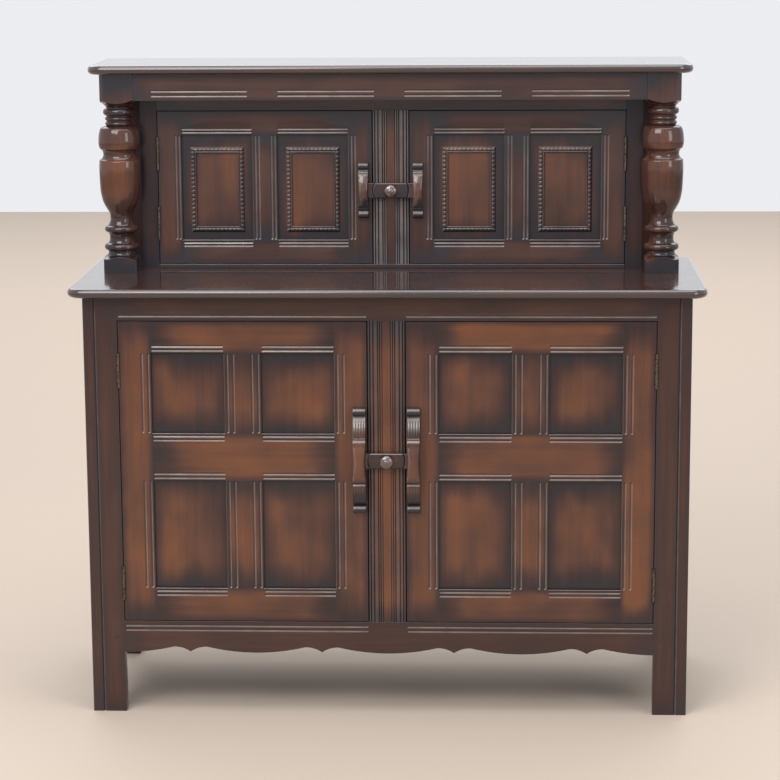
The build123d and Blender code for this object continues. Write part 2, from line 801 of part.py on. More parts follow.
def turning(x):
    """The turned length of a post as a solid of revolution about its axis."""
    low, high = post_block_low[1], post_block_high[0]

    def ring(middle, radius, half):
        ends = [(turn_collar_radius, low + middle + side * half) for side in (-1, 1)]
        return ends[0], (radius, low + middle), ends[1]

    low_ring, high_ring = ring(*turn_low_ring), ring(*turn_high_ring)
    cup_foot = (turn_cup_foot_radius, low + turn_cup_foot)
    cup_top = (turn_cup_lip_radius, high - turn_cup_top)
    cup_curve = [
        (radius, cup_foot[1] + part * (cup_top[1] - cup_foot[1])) for radius, part in turn_cup_curve
    ]
    bulb_bottom = (turn_bulb_foot_radius, high - turn_bulb_bottom)
    bulb_top = (turn_bulb_top_radius, high - turn_bulb_top)
    bulb_curve = [
        (radius, bulb_bottom[1] + part * (bulb_top[1] - bulb_bottom[1]))
        for radius, part in turn_bulb_curve
    ]
    with BuildSketch(Plane(origin=(x, post_axis, 0), x_dir=(1, 0, 0), z_dir=(0, -1, 0))) as half:
        with BuildLine():
            shoulder = (turn_shoulder_radius, low)
            collar = (turn_collar_radius, low + turn_collar_start)
            Line((0, low), shoulder)
            ThreePointArc(
                shoulder, (turn_shoulder_round[0], low + turn_shoulder_round[1]), collar
            )
            Line(collar, low_ring[0])
            ThreePointArc(*low_ring)
            cove_height = (low_ring[2][1] + high_ring[0][1]) / 2
            ThreePointArc(low_ring[2], (turn_cove_radius, cove_height), high_ring[0])
            ThreePointArc(*high_ring)
            neck_height = (high_ring[2][1] + cup_foot[1]) / 2
            ThreePointArc(high_ring[2], (turn_neck_radius, neck_height), cup_foot)
            Spline(cup_foot, *cup_curve, cup_top)
            waist = (turn_waist_radius, (cup_top[1] + bulb_bottom[1]) / 2)
            ThreePointArc(cup_top, waist, bulb_bottom)
            Spline(bulb_bottom, *bulb_curve, bulb_top)
            at = (turn_bead_radius, bulb_top[1] + turn_bead_gap)
            Line(bulb_top, at)
            for radius, height in turn_beads:
                end = (turn_bead_radius, at[1] + height)
                ThreePointArc(at, (radius, at[1] + height / 2), end)
                at = (turn_bead_radius, end[1] + turn_bead_gap)
                Line(end, at)
            shoulder = (turn_shoulder_radius, high)
            ThreePointArc(at, (turn_throat_radius, (at[1] + high) / 2), shoulder)
            Polyline(shoulder, (0, high), (0, low))
        make_face()
    revolve(half.sketch, Axis((x, post_axis, 0), (0, 0, 1)))


def turn_pommel(x, square, end):
    """Turns the corners of a post's block down to the round shoulder at one end of it."""
    falls = post_pommel_drop if square > end else -post_pommel_drop
    with BuildSketch(Plane(origin=(x, post_axis, 0), x_dir=(1, 0, 0), z_dir=(0, -1, 0))) as waste:
        with BuildLine():
            Polyline(
                (turn_shoulder_radius, end),
                (post_pommel_reach, end),
                (post_pommel_reach, end + falls),
                (turn_shoulder_radius, end),
            )
        make_face()
    revolve(waste.sketch, Axis((x, post_axis, 0), (0, 0, 1)), mode=Mode.SUBTRACT)


for hand, side_name in hands:
    axis_x = hand * post_centre
    with BuildPart() as post:
        for z in (post_block_low, post_block_high):
            block(inset((axis_x, axis_x), -post_size / 2), (post_front, post_back), z)
        for outer_front, size in ((True, post_outer_chamfer), (False, post_inner_chamfer)):
            corners = []
            for edge in post.edges().filter_by(Axis.Z):
                at = edge.center()
                if (abs(at.X) > post_centre and at.Y < post_axis) == outer_front:
                    corners.append(edge)
            chamfer(corners, size)
        turn_pommel(axis_x, *post_block_low)
        turn_pommel(axis_x, *reversed(post_block_high))
        turning(axis_x)
        length = post_block_high[1] - post_block_low[0] + 2 * (post_dowel_length - fitting_clearance)
        foot = (axis_x, post_axis, buffet_height - post_dowel_length + fitting_clearance)
        rod(foot, (0, 0, 1), post_dowel_radius - fitting_clearance / 2, length)
    save(post, f"post_{side_name}")

frieze_front = post_front + frieze_recess
frieze_z = (frieze_bottom, canopy_underside)
frieze_half = post_centre - post_size / 2

with BuildPart() as frieze_rail:
    block((-frieze_half, frieze_half), (frieze_front, frieze_front + frieze_thickness), frieze_z)
    pitch = frieze_line_length + frieze_line_gap
    first = -(frieze_line_count - 1) / 2 * pitch
    lines = [
        (first + n * pitch, frieze_bottom + height, frieze_line_length)
        for n in range(frieze_line_count)
        for height in frieze_line_heights
    ]
    cut_slots(front_plane(frieze_front), level=lines)
save(frieze_rail, "frieze_rail")

with BuildPart() as frieze_side_rails:
    for hand, _ in hands:
        side_x = span(hand, frieze_outside - frieze_thickness, frieze_outside)
        block(side_x, (post_back, back), frieze_z)
save(frieze_side_rails, "frieze_side_rails")

save_group(
    hinge_side(-1, 1, lower_hinges)
    + hinge_side(1, 1, lower_hinges)
    + hinge_side(-1, 1, upper_hinges)
    + hinge_side(1, 1, upper_hinges),
    "frame_hinges",
)


# doors

def make_door(name, hand, x, z, face, sizes, offsets, hinges):
    """Frame and plain panels of one door. x and z are its ranges, x as distances from the middle."""
    stile, muntin, rails, rows = sizes
    depth = (face, face + door_thickness)
    tongue_y = (face + panel_recess, face + panel_recess + tongue_thickness)
    tongue_z = inset(z, groove_stop)
    inner_x = (x[0] + stile, x[1] - stile)
    middle = sum(x) / 2
    columns = ((inner_x[0], middle - muntin / 2), (middle + muntin / 2, inner_x[1]))
    openings = [(span(hand, *column), row) for column in columns for row in rows]
    lines = front_plane(face), openings, *offsets

    with BuildPart() as stiles:
        for near, far, groove in (
            (x[0], inner_x[0], (inner_x[0] - tongue_length, inner_x[0])),
            (inner_x[1], x[1], (inner_x[1], inner_x[1] + tongue_length)),
        ):
            block(span(hand, near, far), depth, z)
            block(span(hand, *groove), tongue_y, tongue_z, Mode.SUBTRACT)
        cut_opening_lines(*lines, "upright")
        cut_hinge_seats(hand, -1, hinges)
    save(stiles, f"{name}_stiles")

    with BuildPart() as level_rails:
        for rail in rails:
            block(span(hand, *inner_x), depth, rail)
            tenon_z = (max(rail[0], tongue_z[0]), min(rail[1], tongue_z[1]))
            block(span(hand, *inset(inner_x, -tongue_length)), tongue_y, tenon_z)
        for row in rows:
            groove_x = span(hand, *inset(inner_x, -tongue_length))
            block(groove_x, tongue_y, inset(row, -tongue_length), Mode.SUBTRACT)
        cut_opening_lines(*lines, "level")
    save(level_rails, f"{name}_rails")

    with BuildPart() as muntins:
        muntin_x = span(hand, columns[0][1], columns[1][0])
        for row in rows:
            tenon_z = inset(row, -tongue_length)
            block(muntin_x, depth, row)
            block(muntin_x, tongue_y, tenon_z)
            for column in columns:
                groove_x = span(hand, *inset(column, -tongue_length))
                block(groove_x, tongue_y, tenon_z, Mode.SUBTRACT)
        cut_opening_lines(*lines, "upright")
    save(muntins, f"{name}_muntins")
    return openings, tongue_y


def panel_blank(opening, tongue_y):
    """A panel whose edges stand in the grooves round its opening."""
    reach = tongue_clearance - tongue_length
    block(inset(opening[0], reach), inset(tongue_y, tongue_clearance / 2), inset(opening[1], reach))


lower_door_bottom, lower_door_top = lower_door_z
first_row = (
    lower_door_bottom + lower_door_bottom_rail,
    lower_door_bottom + lower_door_bottom_rail + lower_door_bottom_panel,
)
second_row = (first_row[1] + lower_door_middle_rail, lower_door_top - lower_door_top_rail)
lower_door_rails = (
    (lower_door_bottom, first_row[0]),
    (first_row[1], second_row[0]),
    (second_row[1], lower_door_top),
)
lower_sizes = (lower_door_stile, lower_door_muntin, lower_door_rails, (first_row, second_row))
lower_offsets = (lower_lines_upright, lower_lines_level)

upper_door_bottom, upper_door_top = upper_door_z
upper_row = (upper_door_bottom + upper_door_bottom_rail, upper_door_top - upper_door_top_rail)
upper_door_rails = ((upper_door_bottom, upper_row[0]), (upper_row[1], upper_door_top))
upper_sizes = (upper_door_stile, upper_door_muntin, upper_door_rails, (upper_row,))
upper_offsets = (upper_lines_upright, upper_lines_level)

for hand, side_name in hands:
    name = f"lower_{side_name}_door"
    openings, tongue_y = make_door(
        name, hand, lower_door_x, lower_door_z, lower_face, lower_sizes, lower_offsets, lower_hinges
    )
    with BuildPart() as panels:
        for opening in openings:
            panel_blank(opening, tongue_y)
    save(panels, f"{name}_panels")
    save_group(hinge_side(hand, -1, lower_hinges), f"{name}_hinges")

    name = f"upper_{side_name}_door"
    openings, tongue_y = make_door(
        name, hand, upper_door_x, upper_door_z, upper_face, upper_sizes, upper_offsets, upper_hinges
    )
    with BuildPart() as panels:
        for opening in openings:
            panel_blank(opening, tongue_y)
        with BuildSketch(front_plane(tongue_y[0] + tongue_clearance / 2)):
            for opening_x, opening_z in openings:
                frame_x = inset(opening_x, panel_frame_side_margin)
                bottom = opening_z[0] + panel_frame_bottom_margin
                top = opening_z[1] - panel_frame_top_margin
                width, height = frame_x[1] - frame_x[0], top - bottom
                with Locations((sum(frame_x) / 2, (bottom + top) / 2)):
                    Rectangle(width, height)
                    Rectangle(
                        width - 2 * panel_frame_border,
                        height - 2 * panel_frame_border,
                        mode=Mode.SUBTRACT,
                    )
        extrude(amount=panel_frame_rise, taper=panel_frame_taper)
    save(panels, f"{name}_panels")
    save_group(hinge_side(hand, -1, upper_hinges), f"{name}_hinges")


# handles

def make_handle(hand, face, door_near, z, sizes):
    """An arched handle with rolled ends, and the catch that carries on the latch bar's line."""
    edge_inset, width, waist, length, rise, thickness, foot, second = sizes
    near = door_near + edge_inset
    side_x = span(hand, near, near + width)
    half = length / 2
    gap_half = half - foot
    gap_depth = rise - thickness
    with BuildPart() as handle:
        with BuildSketch(side_plane(side_x[0])):
            with BuildLine():
                ThreePointArc((face, z - half), (face - rise, z), (face, z + half))
                Line((face, z + half), (face, z + gap_half))
                ThreePointArc((face, z + gap_half), (face - gap_depth, z), (face, z - gap_half))
                Line((face, z - gap_half), (face, z - half))
            make_face()
            roll_y, roll_z = face - handle_roll_radius, half - handle_roll_radius
            with Locations((roll_y, z - roll_z), (roll_y, z + roll_z)):
                Circle(handle_roll_radius)
            if second:
                arc_radius = (half**2 + rise**2) / (2 * rise)
                arc_front = arc_radius - rise - (arc_radius**2 - second**2) ** 0.5
                roll_y = face + arc_front + handle_second_roll_radius - handle_second_roll_sink
                with Locations((roll_y, z - second), (roll_y, z + second)):
                    Circle(handle_second_roll_radius)
        extrude(amount=width)
        with BuildSketch(front_plane(face)):
            scoop = gap_half / 2
            for edge, inwards in ((side_x[0], 1), (side_x[1], -1)):
                deepest = (edge + inwards * (width - waist) / 2, z)
                with BuildLine():
                    ThreePointArc((edge, z - scoop), deepest, (edge, z + scoop))
                    Line((edge, z + scoop), (edge, z - scoop))
                make_face()
        extrude(amount=2 * rise, mode=Mode.SUBTRACT)
        catch_z = (z - latch_bar_height / 2, z + latch_bar_height / 2)
        catch_back = face - latch_running_gap
        catch_far = near + latch_bar_arris
        block(span(hand, 0, catch_far), (catch_back - latch_bar_thickness, catch_back), catch_z)
        block(span(hand, door_near, catch_far), (catch_back, face), catch_z)
        catch_radius = latch_bar_radius + latch_catch_gap
        rod((0, face, z), (0, -1, 0), catch_radius, 2 * rise, Mode.SUBTRACT)
    return handle


lower_handle_sizes = (
    lower_handle_inset,
    lower_handle_width,
    lower_handle_waist,
    lower_handle_length,
    lower_handle_rise,
    lower_handle_thickness,
    lower_handle_foot,
    lower_handle_second_roll,
)
upper_handle_sizes = (
    upper_handle_inset,
    upper_handle_width,
    upper_handle_waist,
    upper_handle_length,
    upper_handle_rise,
    upper_handle_thickness,
    upper_handle_foot,
    None,
)

for hand, side_name in hands:
    handle = make_handle(
        hand, lower_face, lower_door_x[0], lower_latch_height, lower_handle_sizes
    )
    save(handle, f"lower_{side_name}_door_handle")
    handle = make_handle(
        hand, upper_face, upper_door_x[0], upper_latch_height, upper_handle_sizes
    )
    save(handle, f"upper_{side_name}_door_handle")


# latches

for place, face, height in (
    ("lower", lower_face, lower_latch_height),
    ("upper", upper_face, upper_latch_height),
):
    bar_back = face - latch_running_gap
    bar_front = bar_back - latch_bar_thickness
    stop_back = face + frame_thickness + stop_thickness
    with BuildPart() as bar:
        with BuildSketch(front_plane(bar_back)):
            with Locations((0, height)):
                Circle(latch_bar_radius)
                Rectangle(2 * latch_bar_radius, latch_bar_height, mode=Mode.INTERSECT)
        extrude(amount=latch_bar_thickness)
        chamfer(bar.faces().sort_by(Axis.Y)[0].edges(), latch_bar_arris)
        bore = spindle_radius + spindle_seat_clearance
        rod((0, face, height), (0, -1, 0), bore, 2 * knob_height, Mode.SUBTRACT)
    save(bar, f"{place}_latch_bar")

    collar_front = stop_back + latch_running_gap
    spindle_end = collar_front + collar_thickness
    tip = bar_front - knob_height
    knob_middle = tip + knob_half_height
    with BuildPart() as knob:
        with BuildSketch(Plane.XY.offset(height)):
            with Locations((0, knob_middle)):
                Ellipse(knob_radius, knob_half_height)
            for radius, near, far in (
                (knob_neck_radius, knob_middle, bar_front),
                (spindle_radius, bar_front, spindle_end),
            ):
                with Locations((0, (near + far) / 2)):
                    Rectangle(2 * radius, far - near)
            with Locations((0, (tip + spindle_end) / 2)):
                half_plane = (Align.MIN, Align.CENTER)
                Rectangle(knob_radius, spindle_end - tip, align=half_plane, mode=Mode.INTERSECT)
        revolve(axis=Axis((0, 0, height), (0, 1, 0)))
    save(knob, f"{place}_latch_knob")

    with BuildPart() as collar:
        start = (0, collar_front, height)
        rod(start, (0, 1, 0), collar_radius, collar_thickness)
        rod(start, (0, 1, 0), bore, collar_thickness, Mode.SUBTRACT)
    save(collar, f"{place}_latch_collar")
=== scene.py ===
import json
import math

import bmesh
import bpy
from mathutils import Matrix, Vector

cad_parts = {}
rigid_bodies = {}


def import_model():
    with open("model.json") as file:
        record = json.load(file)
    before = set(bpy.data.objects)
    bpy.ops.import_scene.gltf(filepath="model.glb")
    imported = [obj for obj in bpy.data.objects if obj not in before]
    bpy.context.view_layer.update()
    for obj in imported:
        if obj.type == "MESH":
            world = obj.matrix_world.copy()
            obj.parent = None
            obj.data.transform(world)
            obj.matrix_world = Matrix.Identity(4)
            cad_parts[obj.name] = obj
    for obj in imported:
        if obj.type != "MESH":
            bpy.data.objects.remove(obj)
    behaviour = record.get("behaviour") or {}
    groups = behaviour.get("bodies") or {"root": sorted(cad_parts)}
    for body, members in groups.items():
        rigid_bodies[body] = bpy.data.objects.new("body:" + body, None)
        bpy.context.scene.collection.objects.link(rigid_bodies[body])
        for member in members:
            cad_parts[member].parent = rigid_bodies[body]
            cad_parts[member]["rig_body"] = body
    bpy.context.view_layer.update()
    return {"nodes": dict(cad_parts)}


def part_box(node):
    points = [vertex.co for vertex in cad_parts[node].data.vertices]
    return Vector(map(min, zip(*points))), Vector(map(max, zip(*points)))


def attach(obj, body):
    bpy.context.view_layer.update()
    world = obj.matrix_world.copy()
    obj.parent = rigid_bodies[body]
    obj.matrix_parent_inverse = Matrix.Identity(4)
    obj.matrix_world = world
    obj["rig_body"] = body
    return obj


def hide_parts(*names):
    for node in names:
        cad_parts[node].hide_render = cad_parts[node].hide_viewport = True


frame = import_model()
print("frame loaded:", len(frame["nodes"]), "nodes")

mm = 0.001
near = {"merge": 2e-6, "same": 1e-5, "edge": 1e-4}  # metres


# shader maths as sums: a Field is one socket of a material's node tree

class Field:
    tree = None

    def __init__(self, socket):
        self.socket = socket

    @classmethod
    def node(cls, kind, settings=None, inputs=None, output=0):
        made = cls.tree.nodes.new(kind)
        for name, value in (settings or {}).items():
            if name == "stops":
                ramp = made.color_ramp
                for spot, colour in value[len(ramp.elements):]:
                    ramp.elements.new(spot)
                for element, (spot, colour) in zip(ramp.elements, value):
                    element.position = spot
                    element.color = (*colour, 1)
            else:
                setattr(made, name, value)
        for name, value in (inputs or {}).items():
            if isinstance(value, Field):
                cls.tree.links.new(value.socket, made.inputs[name])
            else:
                made.inputs[name].default_value = value
        return cls(made.outputs[output])

    @staticmethod
    def maths(operation, left, right):
        return Field.node("ShaderNodeMath", {"operation": operation}, {0: left, 1: right})

    def __add__(self, other):
        return self.maths("ADD", self, other)

    def __radd__(self, other):
        return self.maths("ADD", other, self)

    def __sub__(self, other):
        return self.maths("SUBTRACT", self, other)

    def __rsub__(self, other):
        return self.maths("SUBTRACT", other, self)

    def __mul__(self, other):
        return self.maths("MULTIPLY", self, other)

    def __rmul__(self, other):
        return self.maths("MULTIPLY", other, self)

    def least(self, other):
        return self.maths("MINIMUM", self, other)

    def most(self, other):
        return self.maths("MAXIMUM", self, other)

    def split(self):
        return [Field.node("ShaderNodeSeparateXYZ", None, {0: self}, part) for part in range(3)]

    def rise(self, low, high):
        # 0 below low, 1 above high, smooth between
        settings = {"interpolation_type": "SMOOTHSTEP"}
        return Field.node("ShaderNodeMapRange", settings, {"Value": self, "From Min": low, "From Max": high})


def joined(x, y, z):
    return Field.node("ShaderNodeCombineXYZ", None, {0: x, 1: y, 2: z})


def pointValue(name, output):
    # an attribute of the piece: output 1 is its vector, 2 its number
    return Field.node("ShaderNodeAttribute", {"attribute_name": name}, None, output)


def noiseAt(place, scale=1.0, detail=2.0, rough=0.5):
    inputs = {"Vector": place, "Scale": scale, "Detail": detail, "Roughness": rough}
    return Field.node("ShaderNodeTexNoise", None, inputs)


def mixColour(factor, low, high):
    # sockets 6 and 7 are the two colours of a Mix node
    low = low if isinstance(low, Field) else (*low, 1)
    high = high if isinstance(high, Field) else (*high, 1)
    return Field.node("ShaderNodeMix", {"data_type": "RGBA"}, {0: factor, 6: low, 7: high}, 2)


def newMaterial(name):
    material = bpy.data.materials.new(name)
    material.use_nodes = True
    Field.tree = material.node_tree
    shader = next(n for n in Field.tree.nodes if n.type == "BSDF_PRINCIPLED")
    return material, shader


def plug(shader, inputs):
    for name, value in inputs.items():
        if isinstance(value, Field):
            Field.tree.links.new(value.socket, shader.inputs[name])
        else:
            shader.inputs[name].default_value = value


# oak: the grain follows each board, dark glaze at its ends and edges, darker with depth into its cuts, warm
# in its middle; painted highlight on cut lines and arrises facing up and left, painted shade on those facing
# down and right

oakFinish = {
    "glaze": (0.019, 0.015, 0.019),
    "deep": (0.044, 0.019, 0.016),
    "brown": (0.082, 0.034, 0.023),
    "amber": (0.168, 0.060, 0.025),
    "rubbed": (0.34, 0.28, 0.25),
    "rub": 0.7,
    "endReach": 0.060,
    "sideReach": 0.015,
    "warmth": 1.0,
    "base": 0.0,
    "cut": 0.45,
    "specular": 0.2,
    "roughness": 0.36,
    "coat": 0.6,
    "coatRoughness": 0.14,
    "coatIndex": 1.5,
}
grain = {
    # scales along and across the board
    "drift": (7, 11),
    "streaks": (4, 75),
    "lines": (9, 420),
    "pores": (70, 1500),
    "patches": 26,
    # how much of the tone or colour each makes
    "warmest": 1.3,
    "streakShare": 0.50,
    "lineShare": 0.16,
    "poreShare": 0.32,
    "cutDepth": (0.0004, 0.0030),
    "bump": 0.20,
    "bumpDepth": 0.0005,
}


def oakMaterial(name, **changes):
    look = {**oakFinish, **changes}
    material, shader = newMaterial(name)
    along, across, depth = pointValue("spot", 1).split()
    length, width, seed = pointValue("board", 1).split()
    lift = pointValue("lift", 2)

    toEnd = along.least(length - along)
    toSide = across.least(width - across)
    driftAlong, driftAcross = grain["drift"]
    drift = noiseAt(joined(along * driftAlong + seed * 13, across * driftAcross, seed * 5 + depth * 9))
    ends = (toEnd + (drift - 0.5) * 0.06).rise(0.0, look["endReach"])
    sides = (toSide + (drift - 0.5) * 0.012).rise(-0.004, look["sideReach"])

    long, fine = grain["streaks"]
    streaks = noiseAt(joined(along * long + seed * 31, across * fine, depth * fine + seed * 7), 1.0, 4.0, 0.6)
    long, fine = grain["lines"]
    lines = noiseAt(joined(along * long + seed * 3, across * fine, depth * fine), 1.0, 2.0, 0.6)
    long, fine = grain["pores"]
    pores = noiseAt(joined(along * long + seed, across * fine, depth * fine), 1.0, 1.0).rise(0.60, 0.72)

    warm = ends * sides * (0.36 + grain["warmest"] * (drift - 0.28)) * look["warmth"]
    tone = warm + lift + look["base"] + (streaks - 0.5) * grain["streakShare"]
    tone = tone + (lines - 0.5) * grain["lineShare"]
    stops = [
        (0.0, look["glaze"]),
        (0.20, look["deep"]),
        (0.52, look["brown"]),
        (1.0, look["amber"]),
    ]
    colour = Field.node("ShaderNodeValToRGB", {"stops": stops}, {0: tone})
    if look["cut"]:
        colour = mixColour(depth.rise(*grain["cutDepth"]) * look["cut"], colour, look["glaze"])
    colour = mixColour(pores * grain["poreShare"], colour, look["glaze"])
    if look["rub"]:
        slopeTone = pointValue("slopeTone", 2)
        patchy = noiseAt(joined(along * grain["patches"], across * grain["patches"], seed * 17))
        # painted shade where slopes face down and right, then a patchy painted highlight where they face up
        # and left
        colour = mixColour(0 - slopeTone, colour, look["glaze"])
        colour = mixColour(slopeTone * look["rub"] * (patchy * 1.5 + 0.2), colour, look["rubbed"])

    bump = Field.node("ShaderNodeBump", None, {
        "Strength": grain["bump"],
        "Distance": grain["bumpDepth"],
        "Height": lines * 0.5 + streaks * 0.5 - pores * 0.5,
    })
    plug(shader, {
        "Base Color": colour,
        "Roughness": look["roughness"] + (drift - 0.5) * 0.16 + pores * 0.1,
        "Normal": bump,
        "Coat Weight": look["coat"],
        "Coat Roughness": look["coatRoughness"],
        "Coat IOR": look["coatIndex"],
        "Specular IOR Level": look["specular"],
    })
    return material


def bronzeMaterial():
    material, shader = newMaterial("darkBronze")
    place = Field.node("ShaderNodeTexCoord", None, None, 3)
    tarnish = noiseAt(place, 220.0, 3.0).rise(0.35, 0.7)
    plug(shader, {
        "Base Color": mixColour(tarnish, (0.16, 0.12, 0.085), (0.040, 0.032, 0.028)),
        "Metallic": 0.85,
        "Roughness": 0.35 + tarnish * 0.3,
    })
    return material


# the case's purple-grey glaze colour is partly a painted blue-grey reflection
oakCase = oakMaterial("caseOak", base=0.09, warmth=0.36, glaze=(0.030, 0.024, 0.029), rub=0.5)
oakDoor = oakMaterial("doorOak", base=0.08)
oakPanel = oakMaterial("panelOak", base=-0.02, warmth=1.05, sideReach=0.040, endReach=0.060)
# the upper stage's oak is darker and cooler than the doors below, with a blue-grey glaze: painted shade and
# painted reflection for the stage under the canopy
oakUpper = oakMaterial("upperOak", base=0.02, warmth=0.52, glaze=(0.022, 0.020, 0.025))
# a darker copy of the oak for the upper sides and stiles beside the posts: painted shade
oakPaintedShade = oakMaterial("paintedShadeOak", base=-0.05, warmth=0.30, coat=0.35, rub=0.4)
oakField = oakMaterial("upperPanelOak", base=-0.02, warmth=0.95, sideReach=0.042, endReach=0.058, rub=0.5)
oakTop = oakMaterial("polishedTop", roughness=0.22, coat=1.0, coatRoughness=0.06, specular=0.5, base=0.12,
                     warmth=0.26, rub=0)
oakTurned = oakMaterial("turnedOak", cut=0, coat=1.0, coatRoughness=0.10, specular=0.0, base=0.02, rub=0)
oakKnob = oakMaterial("knobOak", cut=0, coat=1.0, coatRoughness=0.16, coatIndex=1.9, specular=0.6, rub=0)
oakCarved = oakMaterial("carvedOak", cut=0, coat=0.8, coatRoughness=0.12, base=-0.02, rub=0.5)
oakInside = oakMaterial("insideOak", base=0.14, warmth=0.7, coat=0.0, roughness=0.62, rub=0)
bronze = bronzeMaterial()
print("materials made")


# tools for pieces

def copyOf(node):
    bm = bmesh.new()
    bm.from_mesh(frame["nodes"][node].data)
    bmesh.ops.remove_doubles(bm, verts=bm.verts, dist=near["merge"])
    return bm


def islands(bm):
    found, seen = [], set()
    for start in bm.verts:
        if start in seen:
            continue
        group, waiting = [], [start]
        seen.add(start)
        while waiting:
            vert = waiting.pop()
            group.append(vert)
            for edge in vert.link_edges:
                other = edge.other_vert(vert)
                if other not in seen:
                    seen.add(other)
                    waiting.append(other)
        found.append(group)
    return found


def cornersOf(verts):
    low = Vector([min(v.co[k] for v in verts) for k in range(3)])
    high = Vector([max(v.co[k] for v in verts) for k in range(3)])
    return low, high


def boxesOf(node, axis):
    # the corners of each board of a node, in order along an axis
    bm = copyOf(node)
    boxes = [cornersOf(verts) for verts in islands(bm)]
    bm.free()
    return sorted(boxes, key=lambda box: box[0][axis])


def layersOf(bm):
    vectors, numbers = bm.verts.layers.float_vector, bm.verts.layers.float
    return (
        vectors.get("spot") or vectors.new("spot"),
        vectors.get("board") or vectors.new("board"),
        numbers.get("lift") or numbers.new("lift"),
    )


def markBoards(bm, along, facing, tenon=0.0, seed=0.0, lift=None):
    # writes each board's own length, width and depth coordinates on its points
    spot, board, raised = layersOf(bm)
    depthAxis = {"front": 1, "back": 1, "side": 0, "top": 2}[facing]
    across = 3 - along - depthAxis
    for count, verts in enumerate(islands(bm)):
        low, high = cornersOf(verts)
        outwards = -1 if facing == "front" or (facing == "side" and low.x + high.x < 0) else 1
        length = high[along] - low[along] - 2 * tenon
        width = high[across] - low[across]
        number = (seed + count * 0.618 + low.x * 3.1 + low.z * 1.7) % 1.0
        for vert in verts:
            face = high[depthAxis] if outwards > 0 else low[depthAxis]
            depth = abs(vert.co[depthAxis] - face)
            vert[spot] = (vert.co[along] - low[along] - tenon, vert.co[across] - low[across], depth)
            vert[board] = (length, width, number)
            if lift:
                vert[raised] = lift(vert.co)


def markRound(bm, centre, seed=0.0, lift=None):
    # turned and carved pieces: the grain runs upright through the whole piece
    spot, board, raised = layersOf(bm)
    low, high = cornersOf(bm.verts)
    for vert in bm.verts:
        vert[spot] = (vert.co.z - low.z, 0.5 + vert.co.x - centre.x, vert.co.y - centre.y)
        vert[board] = (high.z - low.z, 1.0, seed)
        if lift:
            vert[raised] = lift(vert.co)


def flatten(bm):
    # joins the CAD mesh's triangles into whole faces
    bmesh.ops.dissolve_limit(
        bm, angle_limit=math.radians(0.6), verts=bm.verts, edges=bm.edges, delimit={"NORMAL", "SEAM"}
    )


def roundEdges(bm, edges, width, segments):
    bmesh.ops.bevel(bm, geom=edges, offset=width, offset_type="OFFSET", affect="EDGES", segments=segments,
                    profile=0.5, material=-1, clamp_overlap=True)


def soften(bm, width, segments=4, angle=35):
    sharp = [e for e in bm.edges if len(e.link_faces) == 2 and e.calc_face_angle(0) > math.radians(angle)]
    roundEdges(bm, sharp, width, segments)


def cutBlock(low, high, cuts=(0, 0, 0)):
    bm = bmesh.new()
    bmesh.ops.create_cube(bm, size=1)
    bmesh.ops.scale(bm, verts=bm.verts, vec=high - low)
    bmesh.ops.translate(bm, verts=bm.verts, vec=(low + high) / 2)
    for axis, count in enumerate(cuts):
        if count:
            run = [e for e in bm.edges if abs(e.verts[0].co[axis] - e.verts[1].co[axis]) > near["same"]]
            bmesh.ops.subdivide_edges(bm, edges=run, cuts=count, use_grid_fill=True)
    return bm


def addTo(bm, other):
    # joins a second bmesh to the first
    mesh = bpy.data.meshes.new("joining")
    other.to_mesh(mesh)
    other.free()
    bm.from_mesh(mesh)
    bpy.data.meshes.remove(mesh)


def smoothStep(value, low, high):
    part = min(1, max(0, (value - low) / (high - low)))
    return part * part * (3 - 2 * part)


slopeLighting = {"flat": 0.97, "upwards": 1.7, "sideways": 0.9, "darkest": -0.7}


def paintSlopeHighlights(bm):
    # painted highlight and painted shade on the cut lines and arrises by the way they face at rest: lighter
    # where up or left,
    #  darker where down or right; being painted, it stays when the light or the pose changes
    bm.normal_update()
    if bm.faces.layers.float.get("slopeTone"):
        return
    slopeTone = bm.faces.layers.float.new("slopeTone")
    for face in bm.faces:
        front = -face.normal.y
        if front < slopeLighting["flat"]:
            light = slopeLighting["upwards"] * face.normal.z - slopeLighting["sideways"] * face.normal.x
            face[slopeTone] = max(slopeLighting["darkest"], min(1, light)) * smoothStep(front, 0.15, 0.7)


def finishPiece(bm, name, nodes, material, smoothBelow=28, weighted=True):
    paintSlopeHighlights(bm)
    mesh = bpy.data.meshes.new(name)
    bm.to_mesh(mesh)
    bm.free()
    piece = bpy.data.objects.new(name, mesh)
    bpy.context.scene.collection.objects.link(piece)
    mesh.materials.append(material)
    mesh.shade_smooth()
    mesh.set_sharp_from_angle(angle=math.radians(smoothBelow))
    if weighted:
        modifier = piece.modifiers.new("evenShading", "WEIGHTED_NORMAL")
        modifier.keep_sharp = True
    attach(piece, frame["nodes"][nodes[0]]["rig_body"])
    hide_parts(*nodes)


# plain boards: node, grain axis, way it faces, hidden tenon, softened arris, finish

